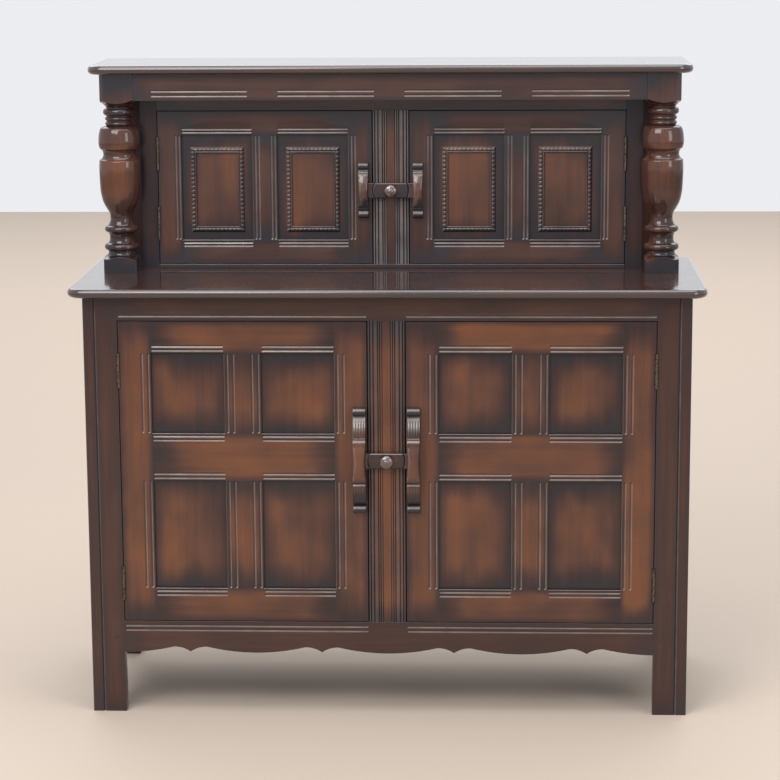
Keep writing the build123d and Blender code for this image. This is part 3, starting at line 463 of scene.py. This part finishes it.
caseBoards = [
    ("front_stile_left", 2, "front", 0, 0.8, oakCase),
    ("front_stile_right", 2, "front", 0, 0.8, oakCase),
    ("front_top_rail", 0, "front", 28, 0.6, oakCase),
    ("front_sill_rail", 0, "front", 28, 0.8, oakCase),
    ("side_front_stiles", 2, "front", 0, 0, oakCase),
    ("rear_legs", 2, "side", 0, 1.2, oakCase),
    ("side_rails", 1, "side", 10, 0.6, oakCase),
    ("side_panels", 2, "side", 0, 0.4, oakPanel),
    ("back_rails", 0, "back", 10, 0.6, oakInside),
    ("lower_back_panel", 2, "back", 0, 0, oakInside),
    ("bottom_board", 0, "top", 0, 0, oakInside),
    ("inner_shelf", 0, "top", 0, 0.8, oakInside),
    ("battens", 1, "side", 0, 0.6, oakInside),
    ("door_stops", 2, "front", 0, 0.6, oakInside),
    ("upper_sides", 2, "side", 0, 0.8, oakPaintedShade),
    ("upper_stiles", 2, "front", 0, 0.6, oakPaintedShade),
    ("upper_top_rail", 0, "front", 10, 0.6, oakUpper),
    ("upper_sill", 0, "front", 0, 1.0, oakUpper),
    ("upper_back_panel", 2, "back", 0, 0, oakInside),
    ("frieze_rail", 0, "front", 0, 0.5, oakUpper),
    ("frieze_side_rails", 1, "side", 0, 0.8, oakUpper),
    ("frame_pegs", 1, "front", 0, 0.3, oakCase),
]

for node, along, facing, tenon, arris, material in caseBoards:
    bm = copyOf(node)
    flatten(bm)
    markBoards(bm, along, facing, tenon * mm, seed=len(node) * 0.37)
    if arris:
        soften(bm, arris * mm)
    finishPiece(bm, node + "_dressed", [node], material)
print("case boards dressed")


# doors: the frame's edges are rounded round each opening, and sharp where boards meet

doorLook = {"openingRound": 1.5, "arris": 0.35, "tenon": 10}


def openingsOf(door):
    stiles, rails = boxesOf(door + "_stiles", 0), boxesOf(door + "_rails", 2)
    muntin = boxesOf(door + "_muntins", 2)[0]
    columns = [(stiles[0][1].x, muntin[0].x), (muntin[1].x, stiles[1][0].x)]
    rows = [(below[1].z, above[0].z) for below, above in zip(rails, rails[1:])]
    return columns, rows


def roundOpenings(bm, columns, rows, along):
    # along is 0 for rails, which meet the openings above and below, and 2 for uprights
    ranges, edgesAt = (columns, rows) if along == 0 else (rows, columns)
    across = 2 - along
    stops = [value for pair in ranges for value in pair]
    normal = Vector([1 if k == along else 0 for k in range(3)])
    for value in stops:
        whole = bm.verts[:] + bm.edges[:] + bm.faces[:]
        cut = bmesh.ops.bisect_plane(bm, geom=whole, plane_co=normal * value, plane_no=normal,
                                     dist=near["merge"] / 2)
        for item in cut["geom_cut"]:
            if isinstance(item, bmesh.types.BMEdge):
                item.seam = True
    flatten(bm)
    face = min(v.co.y for v in bm.verts)
    chosen = []
    for edge in bm.edges:
        first, second = edge.verts[0].co, edge.verts[1].co
        middle = (first + second) / 2
        if max(first.y, second.y) - face > near["same"] or abs(first[across] - second[across]) > near["same"]:
            continue
        onEdge = any(abs(middle[across] - value) < near["edge"] for pair in edgesAt for value in pair)
        if onEdge and any(low < middle[along] < high for low, high in ranges):
            chosen.append(edge)
    roundEdges(bm, chosen, doorLook["openingRound"] * mm, 4)


def dressDoor(door, frameFinish, panelFinish):
    columns, rows = openingsOf(door)
    hidden = doorLook["tenon"]
    for part, along, tenon in (("stiles", 2, 0), ("rails", 0, hidden), ("muntins", 2, hidden)):
        bm = copyOf(f"{door}_{part}")
        roundOpenings(bm, columns, rows, along)
        soften(bm, doorLook["arris"] * mm)
        markBoards(bm, along, "front", tenon * mm, seed=len(door + part) * 0.29)
        finishPiece(bm, f"{door}_{part}_dressed", [f"{door}_{part}"], frameFinish)
    if panelFinish:
        bm = copyOf(door + "_panels")
        flatten(bm)
        markBoards(bm, 2, "front", hidden * mm, seed=len(door) * 0.17)
        finishPiece(bm, door + "_panels_dressed", [door + "_panels"], panelFinish)


for side in ("left", "right"):
    dressDoor(f"lower_{side}_door", oakDoor, oakPanel)
    dressDoor(f"upper_{side}_door", oakUpper, None)
print("doors dressed")


# carved frame on each upper panel: four mitred mouldings with nicks along their outer slope

carvedFrame = {
    "sideMargin": 16.8,
    "topMargin": 24.2,
    "bottomMargin": 14.1,
    "reach": 10,  # panel hidden in its groove
    "rise": 4.5,  # of the moulding above the panel
    # distance in from the outer edge, height above the panel
    "profile": [(0, -0.4), (0.6, 0.8), (1.8, 2.0), (3.2, 3.2), (4.6, 4.1), (5.8, 4.5), (7.0, 4.4), (8.0, 3.6),
                (8.8, 2.6), (9.4, 2.8), (10.0, 3.9), (10.9, 4.4), (11.8, 3.9), (12.4, 2.4), (12.7, -0.4)],
    "nickPitch": 8.5,
    "nickDepth": 0.9,
    "nickRange": (0.6, 7.6),
    "step": 1.0,
    # tone of the mouldings, and the depths above the panel over which it comes in, in metres
    "glazed": -0.18,
    "glazeDepth": (0.0005, 0.003),
}


def mouldingSide(start, finish, inwards, face):
    # a strip from corner to corner; each point goes in along the mitre
    shape = carvedFrame
    length = (finish - start).length
    direction = (finish - start) / length
    steps = int(length / (shape["step"] * mm))
    rows = len(shape["profile"]) - 1
    bm = bmesh.new()
    bmesh.ops.create_grid(bm, x_segments=steps, y_segments=rows, size=0.5)
    nicks = round(length / (shape["nickPitch"] * mm))
    for vert in bm.verts:
        part, row = vert.co.x + 0.5, round((vert.co.y + 0.5) * rows)
        inset, height = shape["profile"][row]
        run = inset * mm + part * (length - 2 * inset * mm)
        if shape["nickRange"][0] < inset < shape["nickRange"][1]:
            wave = 0.5 + 0.5 * math.cos(2 * math.pi * nicks * run / length)
            height -= shape["nickDepth"] * wave ** 3
        vert.co = start + direction * run + inwards * inset * mm + Vector((0, -height * mm, 0))
        vert.co.y += face
    return bm


def carvedPanels(door):
    shape = carvedFrame
    node = door + "_panels"
    reach = shape["reach"] * mm
    bm = bmesh.new()
    for low, high in boxesOf(node, 0):
        face = low.y + shape["rise"] * mm
        addTo(bm, cutBlock(Vector((low.x, face, low.z)), high))
        left, right = low.x + reach + shape["sideMargin"] * mm, high.x - reach - shape["sideMargin"] * mm
        bottom, top = low.z + reach + shape["bottomMargin"] * mm, high.z - reach - shape["topMargin"] * mm
        corners = [Vector((left, 0, bottom)), Vector((right, 0, bottom)), Vector((right, 0, top)),
                   Vector((left, 0, top))]
        ways = [Vector((0, 0, 1)), Vector((-1, 0, 0)), Vector((0, 0, -1)), Vector((1, 0, 0))]
        ring = bmesh.new()
        for k, way in enumerate(ways):
            addTo(ring, mouldingSide(corners[k], corners[(k + 1) % 4], way, face))
        bmesh.ops.remove_doubles(ring, verts=ring.verts, dist=5e-6)
        bmesh.ops.recalc_face_normals(ring, faces=ring.faces)
        if sum(f.normal.y for f in ring.faces) > 0:
            bmesh.ops.reverse_faces(ring, faces=ring.faces)
        addTo(bm, ring)
    spot, board, raised = layersOf(bm)
    for low, high in boxesOf(node, 0):
        face = low.y + shape["rise"] * mm
        for vert in bm.verts:
            if low.x - near["edge"] < vert.co.x < high.x + near["edge"]:
                vert[spot] = (vert.co.z - low.z - reach, vert.co.x - low.x - reach, 0)
                vert[board] = (high.z - low.z - 2 * reach, high.x - low.x - 2 * reach, (low.x * 3.7) % 1)
                vert[raised] = shape["glazed"] * smoothStep(face - vert.co.y, *shape["glazeDepth"])
    finishPiece(bm, node + "_dressed", [node], oakField, 50, weighted=False)


for side in ("left", "right"):
    carvedPanels(f"upper_{side}_door")
print("upper panels carved")


# reeded uprights between the doors

reeds = {
    "widths": (4.6, 6.4, 9, 3.8, 4.6),
    "depth": 1.7,
    "shoulder": 0.3,
    "steps": 10,
    "warmMiddle": 0.16,
    "coolReeds": -0.14,
    "darkValley": 0.3,
}
reededBoards = {
    # node: the rails below and above, strength of the painted highlight on the reed crests
    "lower_muntin": ("front_sill_rail", "front_top_rail", 0.16),
    "upper_muntin": ("upper_sill", "upper_top_rail", 0.5),
}


def reedOutline(low, high):
    points, x, steps, depth = [], low.x, reeds["steps"], reeds["depth"] * mm
    for width in reeds["widths"]:
        for k in range(steps):
            part = 2 * k / steps - 1
            points.append((x + width * mm * k / steps, low.y + depth * (1 - math.sqrt(1 - part**2))))
        x += width * mm
    points.append((x, low.y + depth))
    points.append((x + reeds["shoulder"] * mm, low.y))
    middle = (low.x + high.x) / 2
    return points + [(2 * middle - x, y) for x, y in reversed(points)]


for node, (below, above, crestLight) in reededBoards.items():
    low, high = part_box(node)
    low.z, high.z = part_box(below)[1].z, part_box(above)[0].z
    bm = bmesh.new()
    ring = [bm.verts.new((x, y, low.z)) for x, y in reedOutline(low, high)]
    ring += [bm.verts.new((high.x, high.y, low.z)), bm.verts.new((low.x, high.y, low.z))]
    grown = bmesh.ops.extrude_face_region(bm, geom=[bm.faces.new(ring)])
    raised = [item for item in grown["geom"] if isinstance(item, bmesh.types.BMVert)]
    bmesh.ops.translate(bm, verts=raised, vec=(0, 0, high.z - low.z))
    bmesh.ops.recalc_face_normals(bm, faces=bm.faces)
    bm.normal_update()
    plain = high.x - sum(reeds["widths"]) * mm

    def reedLift(at):
        if abs(at.x) < plain + near["edge"]:
            return reeds["warmMiddle"]
        return reeds["coolReeds"] - reeds["darkValley"] * (at.y - low.y) / (reeds["depth"] * mm)

    markBoards(bm, 2, "front", seed=0.4, lift=reedLift)
    # painted highlight on the crests of the reeds, strongest where they face straight forward
    slopeTone = bm.faces.layers.float.new("slopeTone")
    for face in bm.faces:
        middle = face.calc_center_median()
        if plain < abs(middle.x) < high.x - near["edge"] and face.normal.y < 0:
            face[slopeTone] = crestLight * smoothStep(-face.normal.y, 0.90, 0.995)
    finish = oakDoor if node == "lower_muntin" else oakUpper
    finishPiece(bm, node + "_dressed", [node], finish, 40, weighted=False)
print("reeded boards made")


# tops with a round nose

noseTop = {"cornerRadius": 35, "noseRadius": 8.6, "cornerSegments": 14, "noseSegments": 8}


def noseBoard(node):
    low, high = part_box(node)
    bm = cutBlock(low, high)

    def allAt(edge, y):
        return all(abs(vert.co.y - y) < near["merge"] for vert in edge.verts)

    def isUpright(edge):
        return abs(edge.verts[0].co.z - edge.verts[1].co.z) > near["edge"]

    corners = [edge for edge in bm.edges if allAt(edge, low.y) and isUpright(edge)]
    roundEdges(bm, corners, noseTop["cornerRadius"] * mm, noseTop["cornerSegments"])
    rims = [edge for edge in bm.edges if not isUpright(edge) and not allAt(edge, high.y)]
    roundEdges(bm, rims, noseTop["noseRadius"] * mm, noseTop["noseSegments"])
    markBoards(bm, 0, "top", seed=0.3)
    spot = bm.verts.layers.float_vector["spot"]
    for vert in bm.verts:
        vert[spot].z = 0
    finishPiece(bm, node + "_dressed", [node], oakTop, 60)


for node in ("buffet_top", "canopy_top"):
    noseBoard(node)
print("tops made")


# posts: the square blocks come from the frame, the turning between them is spun

turning = {
    # heights of the square blocks above the buffet top and below the canopy, then what is turned:
    # radii, with heights from its foot or its head, and shares of height with the curves
    "blockLow": 32.4, "blockHigh": 59.3, "axisSetback": 31.6, "blockArris": 0.8,
    "shoulder": 31, "shoulderRound": (28, 3), "collar": 26.9, "collarStart": 7.2,
    "lowRing": (17.5, 34.7, 7.2), "highRing": (53.1, 33.6, 6.7),
    "cove": 23.8, "neck": 21.7,
    "cupFoot": (27.2, 92), "cupCurve": ((34.5, 0.14), (38.6, 0.3), (40.4, 0.47), (41.5, 0.81)),
    "cupTop": (40.6, 111.9), "waist": 32.6,
    "bulbFoot": (39.6, 88.4), "bulbCurve": ((41.6, 0.2), (41.6, 0.45), (40, 0.72), (36.8, 0.92)),
    "bulbTop": (30.5, 45),
    "beadRoot": 24.6, "beads": ((27.2, 8.3), (27.4, 8.3), (31.2, 15)), "beadGap": 1.6, "throat": 27.5,
    "steps": 72,
    # tone of the blocks and grooves, and of the full round, which has painted shade towards its left and
    # right sides
    "blockTone": -0.26, "grooveTone": -0.40, "roundTone": 0.30, "sideShade": 0.26, "roundFrom": (31, 41),
}


def arcThrough(start, middle, end, steps=12):
    # points on the circle through three points, without the first
    (ax, ay), (bx, by), (cx, cy) = start, middle, end
    turn = 2 * (ax * (by - cy) + bx * (cy - ay) + cx * (ay - by))
    ux = ((ax**2 + ay**2) * (by - cy) + (bx**2 + by**2) * (cy - ay) + (cx**2 + cy**2) * (ay - by)) / turn
    uy = ((ax**2 + ay**2) * (cx - bx) + (bx**2 + by**2) * (ax - cx) + (cx**2 + cy**2) * (bx - ax)) / turn
    radius = math.hypot(ax - ux, ay - uy)
    first = math.atan2(ay - uy, ax - ux)
    half = math.remainder(math.atan2(by - uy, bx - ux) - first, 2 * math.pi)
    rest = math.remainder(math.atan2(cy - uy, cx - ux) - math.atan2(by - uy, bx - ux), 2 * math.pi)
    return [(ux + radius * math.cos(first + (half + rest) * k / steps),
             uy + radius * math.sin(first + (half + rest) * k / steps)) for k in range(1, steps + 1)]


def smoothThrough(points, steps=6):
    # a smooth run through all the points, without the first
    line = [points[0], *points, points[-1]]
    run = []
    for before, start, end, after in zip(line, line[1:], line[2:], line[3:]):
        for k in range(1, steps + 1):
            t = k / steps
            run.append(tuple(
                0.5 * (2 * b + (c - a) * t + (2 * a - 5 * b + 4 * c - d) * t**2
                       + (3 * b - a - 3 * c + d) * t**3)
                for a, b, c, d in zip(before, start, end, after)
            ))
    return run


def turnedOutline(low, high):
    t = turning

    def ring(middle, radius, half):
        return (t["collar"], low + middle - half), (radius, low + middle), (t["collar"], low + middle + half)

    def raised(curve, start, end):
        return [(radius, start[1] + part * (end[1] - start[1])) for radius, part in curve]

    def fromHead(name):
        return t[name][0], high - t[name][1]

    lowRing, highRing = ring(*t["lowRing"]), ring(*t["highRing"])
    cupFoot = (t["cupFoot"][0], low + t["cupFoot"][1])
    cupTop, bulbFoot, bulbTop = fromHead("cupTop"), fromHead("bulbFoot"), fromHead("bulbTop")
    shoulder, collar = (t["shoulder"], low), (t["collar"], low + t["collarStart"])
    points = [(0, low), shoulder]
    points += arcThrough(shoulder, (t["shoulderRound"][0], low + t["shoulderRound"][1]), collar, 6)
    points += [lowRing[0]] + arcThrough(*lowRing)
    points += arcThrough(lowRing[2], (t["cove"], (lowRing[2][1] + highRing[0][1]) / 2), highRing[0])
    points += arcThrough(*highRing)
    points += arcThrough(highRing[2], (t["neck"], (highRing[2][1] + cupFoot[1]) / 2), cupFoot)
    points += smoothThrough([cupFoot, *raised(t["cupCurve"], cupFoot, cupTop), cupTop])
    points += arcThrough(cupTop, (t["waist"], (cupTop[1] + bulbFoot[1]) / 2), bulbFoot)
    points += smoothThrough([bulbFoot, *raised(t["bulbCurve"], bulbFoot, bulbTop), bulbTop])
    at = (t["beadRoot"], bulbTop[1] + t["beadGap"])
    points.append(at)
    for radius, height in t["beads"]:
        end = (t["beadRoot"], at[1] + height)
        points += arcThrough(at, (radius, at[1] + height / 2), end, 10)
        at = (t["beadRoot"], end[1] + t["beadGap"])
        points.append(at)
    points += arcThrough(at, (t["throat"], (at[1] + high) / 2), (t["shoulder"], high), 6)
    return points + [(0, high)]


def spun(outline, centre, axis, steps):
    # outline is (radius, height) in millimetres, heights along the axis from the centre
    bm = bmesh.new()
    side = Vector((1, 0, 0))
    verts = [bm.verts.new(centre + side * radius * mm + axis * height * mm) for radius, height in outline]
    chain = [bm.edges.new(pair) for pair in zip(verts, verts[1:])]
    bmesh.ops.spin(bm, geom=verts + chain, cent=centre, axis=axis, angle=2 * math.pi, steps=steps,
                   use_merge=True)
    bmesh.ops.remove_doubles(bm, verts=bm.verts, dist=near["merge"])
    bmesh.ops.recalc_face_normals(bm, faces=bm.faces)
    return bm


def postBlock(node, keepBelow, height):
    # one end of the CAD post, cut off flat at a height
    bm = copyOf(node)
    bmesh.ops.bisect_plane(bm, geom=bm.verts[:] + bm.edges[:] + bm.faces[:], plane_co=(0, 0, height),
                           plane_no=(0, 0, 1), dist=near["merge"] / 2, clear_outer=keepBelow,
                           clear_inner=not keepBelow)
    bmesh.ops.holes_fill(bm, edges=[e for e in bm.edges if len(e.link_faces) == 1], sides=0)
    flatten(bm)
    soften(bm, turning["blockArris"] * mm, 3)
    return bm


for node in ("post_left", "post_right"):
    low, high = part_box(node)
    # the blocks end at the shoulders of the turning, between the two boards
    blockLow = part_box("buffet_top")[1].z + turning["blockLow"] * mm
    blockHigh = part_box("canopy_top")[0].z - turning["blockHigh"] * mm
    axisFoot = (low + high) / 2
    axisFoot.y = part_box("frieze_rail")[0].y + turning["axisSetback"] * mm
    axisFoot.z = 0
    bm = postBlock(node, True, blockLow)
    addTo(bm, postBlock(node, False, blockHigh))
    outline = turnedOutline(blockLow / mm, blockHigh / mm)
    addTo(bm, spun(outline, axisFoot, Vector((0, 0, 1)), turning["steps"]))

    def turnedLift(at):
        if at.z < blockLow + near["edge"] or at.z > blockHigh - near["edge"]:
            return turning["blockTone"]
        start, full = turning["roundFrom"]
        radius = math.hypot(at.x - axisFoot.x, at.y - axisFoot.y) / mm
        # painted shade towards the left and right of the round, as seen from the front
        sideways = ((at.x - axisFoot.x) / mm / full) ** 2
        warm = turning["roundTone"] - turning["sideShade"] * sideways
        return turning["grooveTone"] + warm * smoothStep(radius, start, full)

    markRound(bm, axisFoot, seed=0.2 if node.endswith("left") else 0.7, lift=turnedLift)
    finishPiece(bm, node + "_dressed", [node], oakTurned, 35)
print("posts turned")


# latches: bevelled bars, turned knobs

knobShape = {
    # radius, distance from the tip
    "outline": [(0, 0), (2.6, 0.1), (4.6, 0.7), (5.4, 1.5), (6.2, 1.6), (9.0, 2.3), (11.6, 3.9), (13.4, 5.9),
                (14, 8.0), (13.3, 10.2), (11.2, 12.2), (8.6, 13.4), (7, 14.2), (7, 17), (4, 17)],
    "spindle": 4,
    "steps": 40,
}
for place in ("lower", "upper"):
    node = f"{place}_latch_bar"
    bm = copyOf(node)
    flatten(bm)
    soften(bm, 0.7 * mm)
    markBoards(bm, 0, "front", seed=0.6, lift=lambda at: 0.02)
    finishPiece(bm, node + "_dressed", [node], oakCarved)
    node = f"{place}_latch_knob"
    low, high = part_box(node)
    centre = (low + high) / 2
    centre.y = low.y
    end = (high.y - low.y) / mm
    outline = knobShape["outline"] + [(knobShape["spindle"], end), (0, end)]
    bm = spun(outline, centre, Vector((0, 1, 0)), knobShape["steps"])
    markRound(bm, centre, seed=0.5, lift=lambda at: 0.05)
    finishPiece(bm, node + "_dressed", [node], oakKnob, 35)
    node = f"{place}_latch_collar"
    bm = copyOf(node)
    flatten(bm)
    soften(bm, 0.5 * mm)
    markBoards(bm, 0, "front", seed=0.1)
    finishPiece(bm, node + "_dressed", [node], oakInside)
print("latches made")


# carved handles: an arch with rolled ends, fluted cushions and a narrow waist

handleShapes = {
    "lower": {"half": 104, "rise": 30.5, "thickness": 12.5, "foot": 38, "waist": 0.81, "waistReach": 38,
              "roll": (96.5, 7.5), "quirks": ((88.4, 2.2, 1.5), (43.5, 3.2, 2.4)),
              "cushion": (47, 87), "swell": 3.2, "flutes": 5, "fluteDepth": 1.2, "inset": 1.7},
    "upper": {"half": 56, "rise": 27, "thickness": 10, "foot": 23, "waist": 0.87, "waistReach": 33,
              "roll": (48.5, 7.5), "quirks": ((40.3, 3.0, 1.6), (33.5, 1.2, 1.2)),
              "cushion": None, "inset": 6.4},
}
handleCarving = {
    "blank": 20, "cutsAcross": 24, "least": 0.6,
    "waistCrown": 2.4, "crownFade": 10, "cushionSink": 1.2, "edgeFrom": 0.84, "edgeDrop": 1.6,
    "lugReach": 36.2, "lugInside": 3, "lugCuts": 12, "lugArris": 1.2, "lugDepth": 14, "lugHalf": 20,
    "endTone": -0.24, "waistTone": 0.24, "lugTone": -0.30,
}


def handleFront(shape, along, across):
    # height of the handle's face above the door; across runs from -1 to 1
    cut, s = handleCarving, abs(along)
    radius = (shape["half"] ** 2 + shape["rise"] ** 2) / (2 * shape["rise"])
    height = math.sqrt(radius**2 - min(s, shape["half"]) ** 2) - radius + shape["rise"]
    if s < shape["waistReach"]:
        height -= cut["waistCrown"] * across**2 * smoothStep(shape["waistReach"] - s, 0, cut["crownFade"])
    if shape["cushion"]:
        start, end = shape["cushion"]
        if start < s < end:
            part = math.sin(math.pi * (s - start) / (end - start)) ** 0.9
            height += shape["swell"] * part - cut["cushionSink"] * (1 - part)
            height -= shape["fluteDepth"] * part * (1 - abs(math.sin(shape["flutes"] / 2 * math.pi * across)))
    for middle, depth, reach in shape["quirks"]:
        height -= depth * math.exp(-((s - middle) / reach) ** 2)
    middle, size = shape["roll"]
    if abs(s - middle) < size:
        height = max(height, size + math.sqrt(size**2 - (s - middle) ** 2))
    if s > shape["half"] - 0.01:
        height = size
    edge = max(0, (abs(across) - cut["edgeFrom"]) / (1 - cut["edgeFrom"]))
    return max(cut["least"], height - cut["edgeDrop"] * (1 - math.sqrt(max(0, 1 - edge**2))))


def handleBack(shape, along):
    gapHalf = shape["half"] - shape["foot"]
    depth = shape["rise"] - shape["thickness"]
    if abs(along) >= gapHalf:
        return 0
    radius = (gapHalf**2 + depth**2) / (2 * depth)
    return math.sqrt(radius**2 - along**2) - radius + depth


def carveHandle(place, side):
    shape, cut = handleShapes[place], handleCarving
    node = f"{place}_{side}_door_handle"
    low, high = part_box(node)
    hand = 1 if low.x + high.x > 0 else -1
    barLow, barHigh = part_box(f"{place}_latch_bar")
    middle = (low.z + high.z) / 2
    doorNear = min(abs(corner.x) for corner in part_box(f"{place}_{side}_door_stiles")) + shape["inset"] * mm
    doorFar = max(abs(low.x), abs(high.x))
    half, centre = (doorFar - doorNear) / 2, (doorFar + doorNear) / 2
    start = Vector((hand * centre - half, high.y - cut["blank"] * mm, low.z))
    end = Vector((hand * centre + half, high.y, high.z))
    bm = cutBlock(start, end, (cut["cutsAcross"], 0, 2 * shape["half"] - 1))
    for vert in bm.verts:
        along = (vert.co.z - middle) / mm
        across = (vert.co.x - hand * centre) / half
        isFront = vert.co.y < high.y - cut["blank"] * mm / 2
        toMiddle = smoothStep(shape["waistReach"] - abs(along), 0, shape["waistReach"])
        narrow = 1 - (1 - shape["waist"]) * toMiddle
        vert.co.x = hand * centre + across * half * narrow
        height = handleFront(shape, along, across) if isFront else handleBack(shape, along)
        vert.co.y = high.y - height * mm
    # the lug that the latch bar catches; its end follows the bar's round end
    reach = cut["lugReach"] * mm
    ends = sorted((hand * reach, hand * (doorNear + cut["lugInside"] * mm)))
    lug = cutBlock(Vector((ends[0], barLow.y, barLow.z)), Vector((ends[1], barHigh.y, barHigh.z)),
                   (0, 0, cut["lugCuts"]))
    for vert in lug.verts:
        if abs(abs(vert.co.x) - reach) < near["same"]:
            vert.co.x = hand * math.sqrt(reach**2 - (vert.co.z - (barLow.z + barHigh.z) / 2) ** 2)
    soften(lug, cut["lugArris"] * mm)
    addTo(bm, lug)

    def handleLift(at):
        s = abs(at.z - middle) / mm
        waist = smoothStep(shape["waistReach"] - s, -2, 12)
        isLug = at.y > high.y - cut["lugDepth"] * mm and s < cut["lugHalf"]
        return cut["lugTone"] if isLug else cut["endTone"] + cut["waistTone"] * waist

    markRound(bm, Vector((hand * centre, high.y, middle)), seed=0.3 + 0.2 * hand, lift=handleLift)
    finishPiece(bm, node + "_dressed", [node], oakCarved, 50)


for place in ("lower", "upper"):
    for side in ("left", "right"):
        carveHandle(place, side)
print("handles carved")


# hinges keep their shape

for node in [n for n in frame["nodes"] if n.endswith("hinges")]:
    for slot in frame["nodes"][node].material_slots:
        slot.material = bronze


# floor, light and camera

studio = {
    "floorColour": (0.60, 0.50, 0.41),
    "floorSize": 16.0,
    "airColour": (0.80, 0.82, 0.88),
    "airStrength": 0.58,
    "backdrop": (0.84, 0.85, 0.88),
    "lamps": {
        # name: place, target, width, height, watts
        "keySoftbox": ((-1.6, -3.1, 3.3), (0, -0.1, 0.7), 2.6, 1.8, 98),
        "topSoftbox": ((0.3, -0.7, 3.4), (0, -0.1, 0.7), 3.2, 2.0, 58),
        "fillPanel": ((3.0, -3.0, 1.9), (0, -0.1, 0.7), 1.2, 2.0, 28),
        "backWash": ((0, 5.0, 4.5), (0, 4.0, 0), 9.0, 5.0, 260),
    },
}


def makeFloor():
    bm = bmesh.new()
    bmesh.ops.create_grid(bm, x_segments=2, y_segments=2, size=studio["floorSize"] / 2)
    mesh = bpy.data.meshes.new("paleFloor")
    bm.to_mesh(mesh)
    bm.free()
    floor = bpy.data.objects.new("paleFloor", mesh)
    bpy.context.scene.collection.objects.link(floor)
    material, shader = newMaterial("paleFloor")
    plug(shader, {"Base Color": (*studio["floorColour"], 1), "Roughness": 0.7})
    mesh.materials.append(material)


def makeAir():
    world = bpy.data.worlds.new("paleAir")
    bpy.context.scene.world = world
    world.use_nodes = True
    Field.tree = world.node_tree
    Field.tree.nodes.clear()
    path = Field.node("ShaderNodeLightPath").socket.node
    seen = Field(path.outputs["Is Camera Ray"]).most(Field(path.outputs["Is Glossy Ray"]))
    seen = seen.most(Field(path.outputs["Is Transmission Ray"]))
    air = Field.node("ShaderNodeBackground", None, {"Color": (*studio["airColour"], 1),
                                                    "Strength": studio["airStrength"]})
    back = Field.node("ShaderNodeBackground", None, {"Color": (*studio["backdrop"], 1), "Strength": 1.0})
    mixed = Field.node("ShaderNodeMixShader", None, {0: seen, 1: air, 2: back})
    output = Field.tree.nodes.new("ShaderNodeOutputWorld")
    Field.tree.links.new(mixed.socket, output.inputs[0])


def makeLamps():
    for name, (place, target, width, height, watts) in studio["lamps"].items():
        lamp = bpy.data.lights.new(name, "AREA")
        lamp.shape = "RECTANGLE"
        lamp.size = width
        lamp.size_y = height
        lamp.energy = watts
        holder = bpy.data.objects.new(name, lamp)
        holder.location = place
        holder.rotation_euler = (Vector(target) - Vector(place)).to_track_quat("-Z", "Y").to_euler()
        bpy.context.scene.collection.objects.link(holder)


viewFrom = {
    "place": (0.2129, -4.943, 1.5741),
    "turn": 2.481,
    "tilt": 10.99,
    "roll": -0.339,
    "lens": 115.9,
    "sensor": 36,
}


def makeCamera():
    camera = bpy.data.objects.new("camera", bpy.data.cameras.new("camera"))
    bpy.context.scene.collection.objects.link(camera)
    camera.data.lens = viewFrom["lens"]
    camera.data.sensor_width = viewFrom["sensor"]
    turn = Matrix.Rotation(math.radians(viewFrom["turn"]), 4, "Z")
    tilt = Matrix.Rotation(math.radians(90 - viewFrom["tilt"]), 4, "X")
    roll = Matrix.Rotation(math.radians(viewFrom["roll"]), 4, "Z")
    camera.matrix_world = Matrix.Translation(viewFrom["place"]) @ turn @ tilt @ roll
    bpy.context.scene.camera = camera


makeFloor()
makeAir()
makeLamps()
makeCamera()
bpy.context.scene.view_settings.view_transform = "Standard"
print("stage ready")
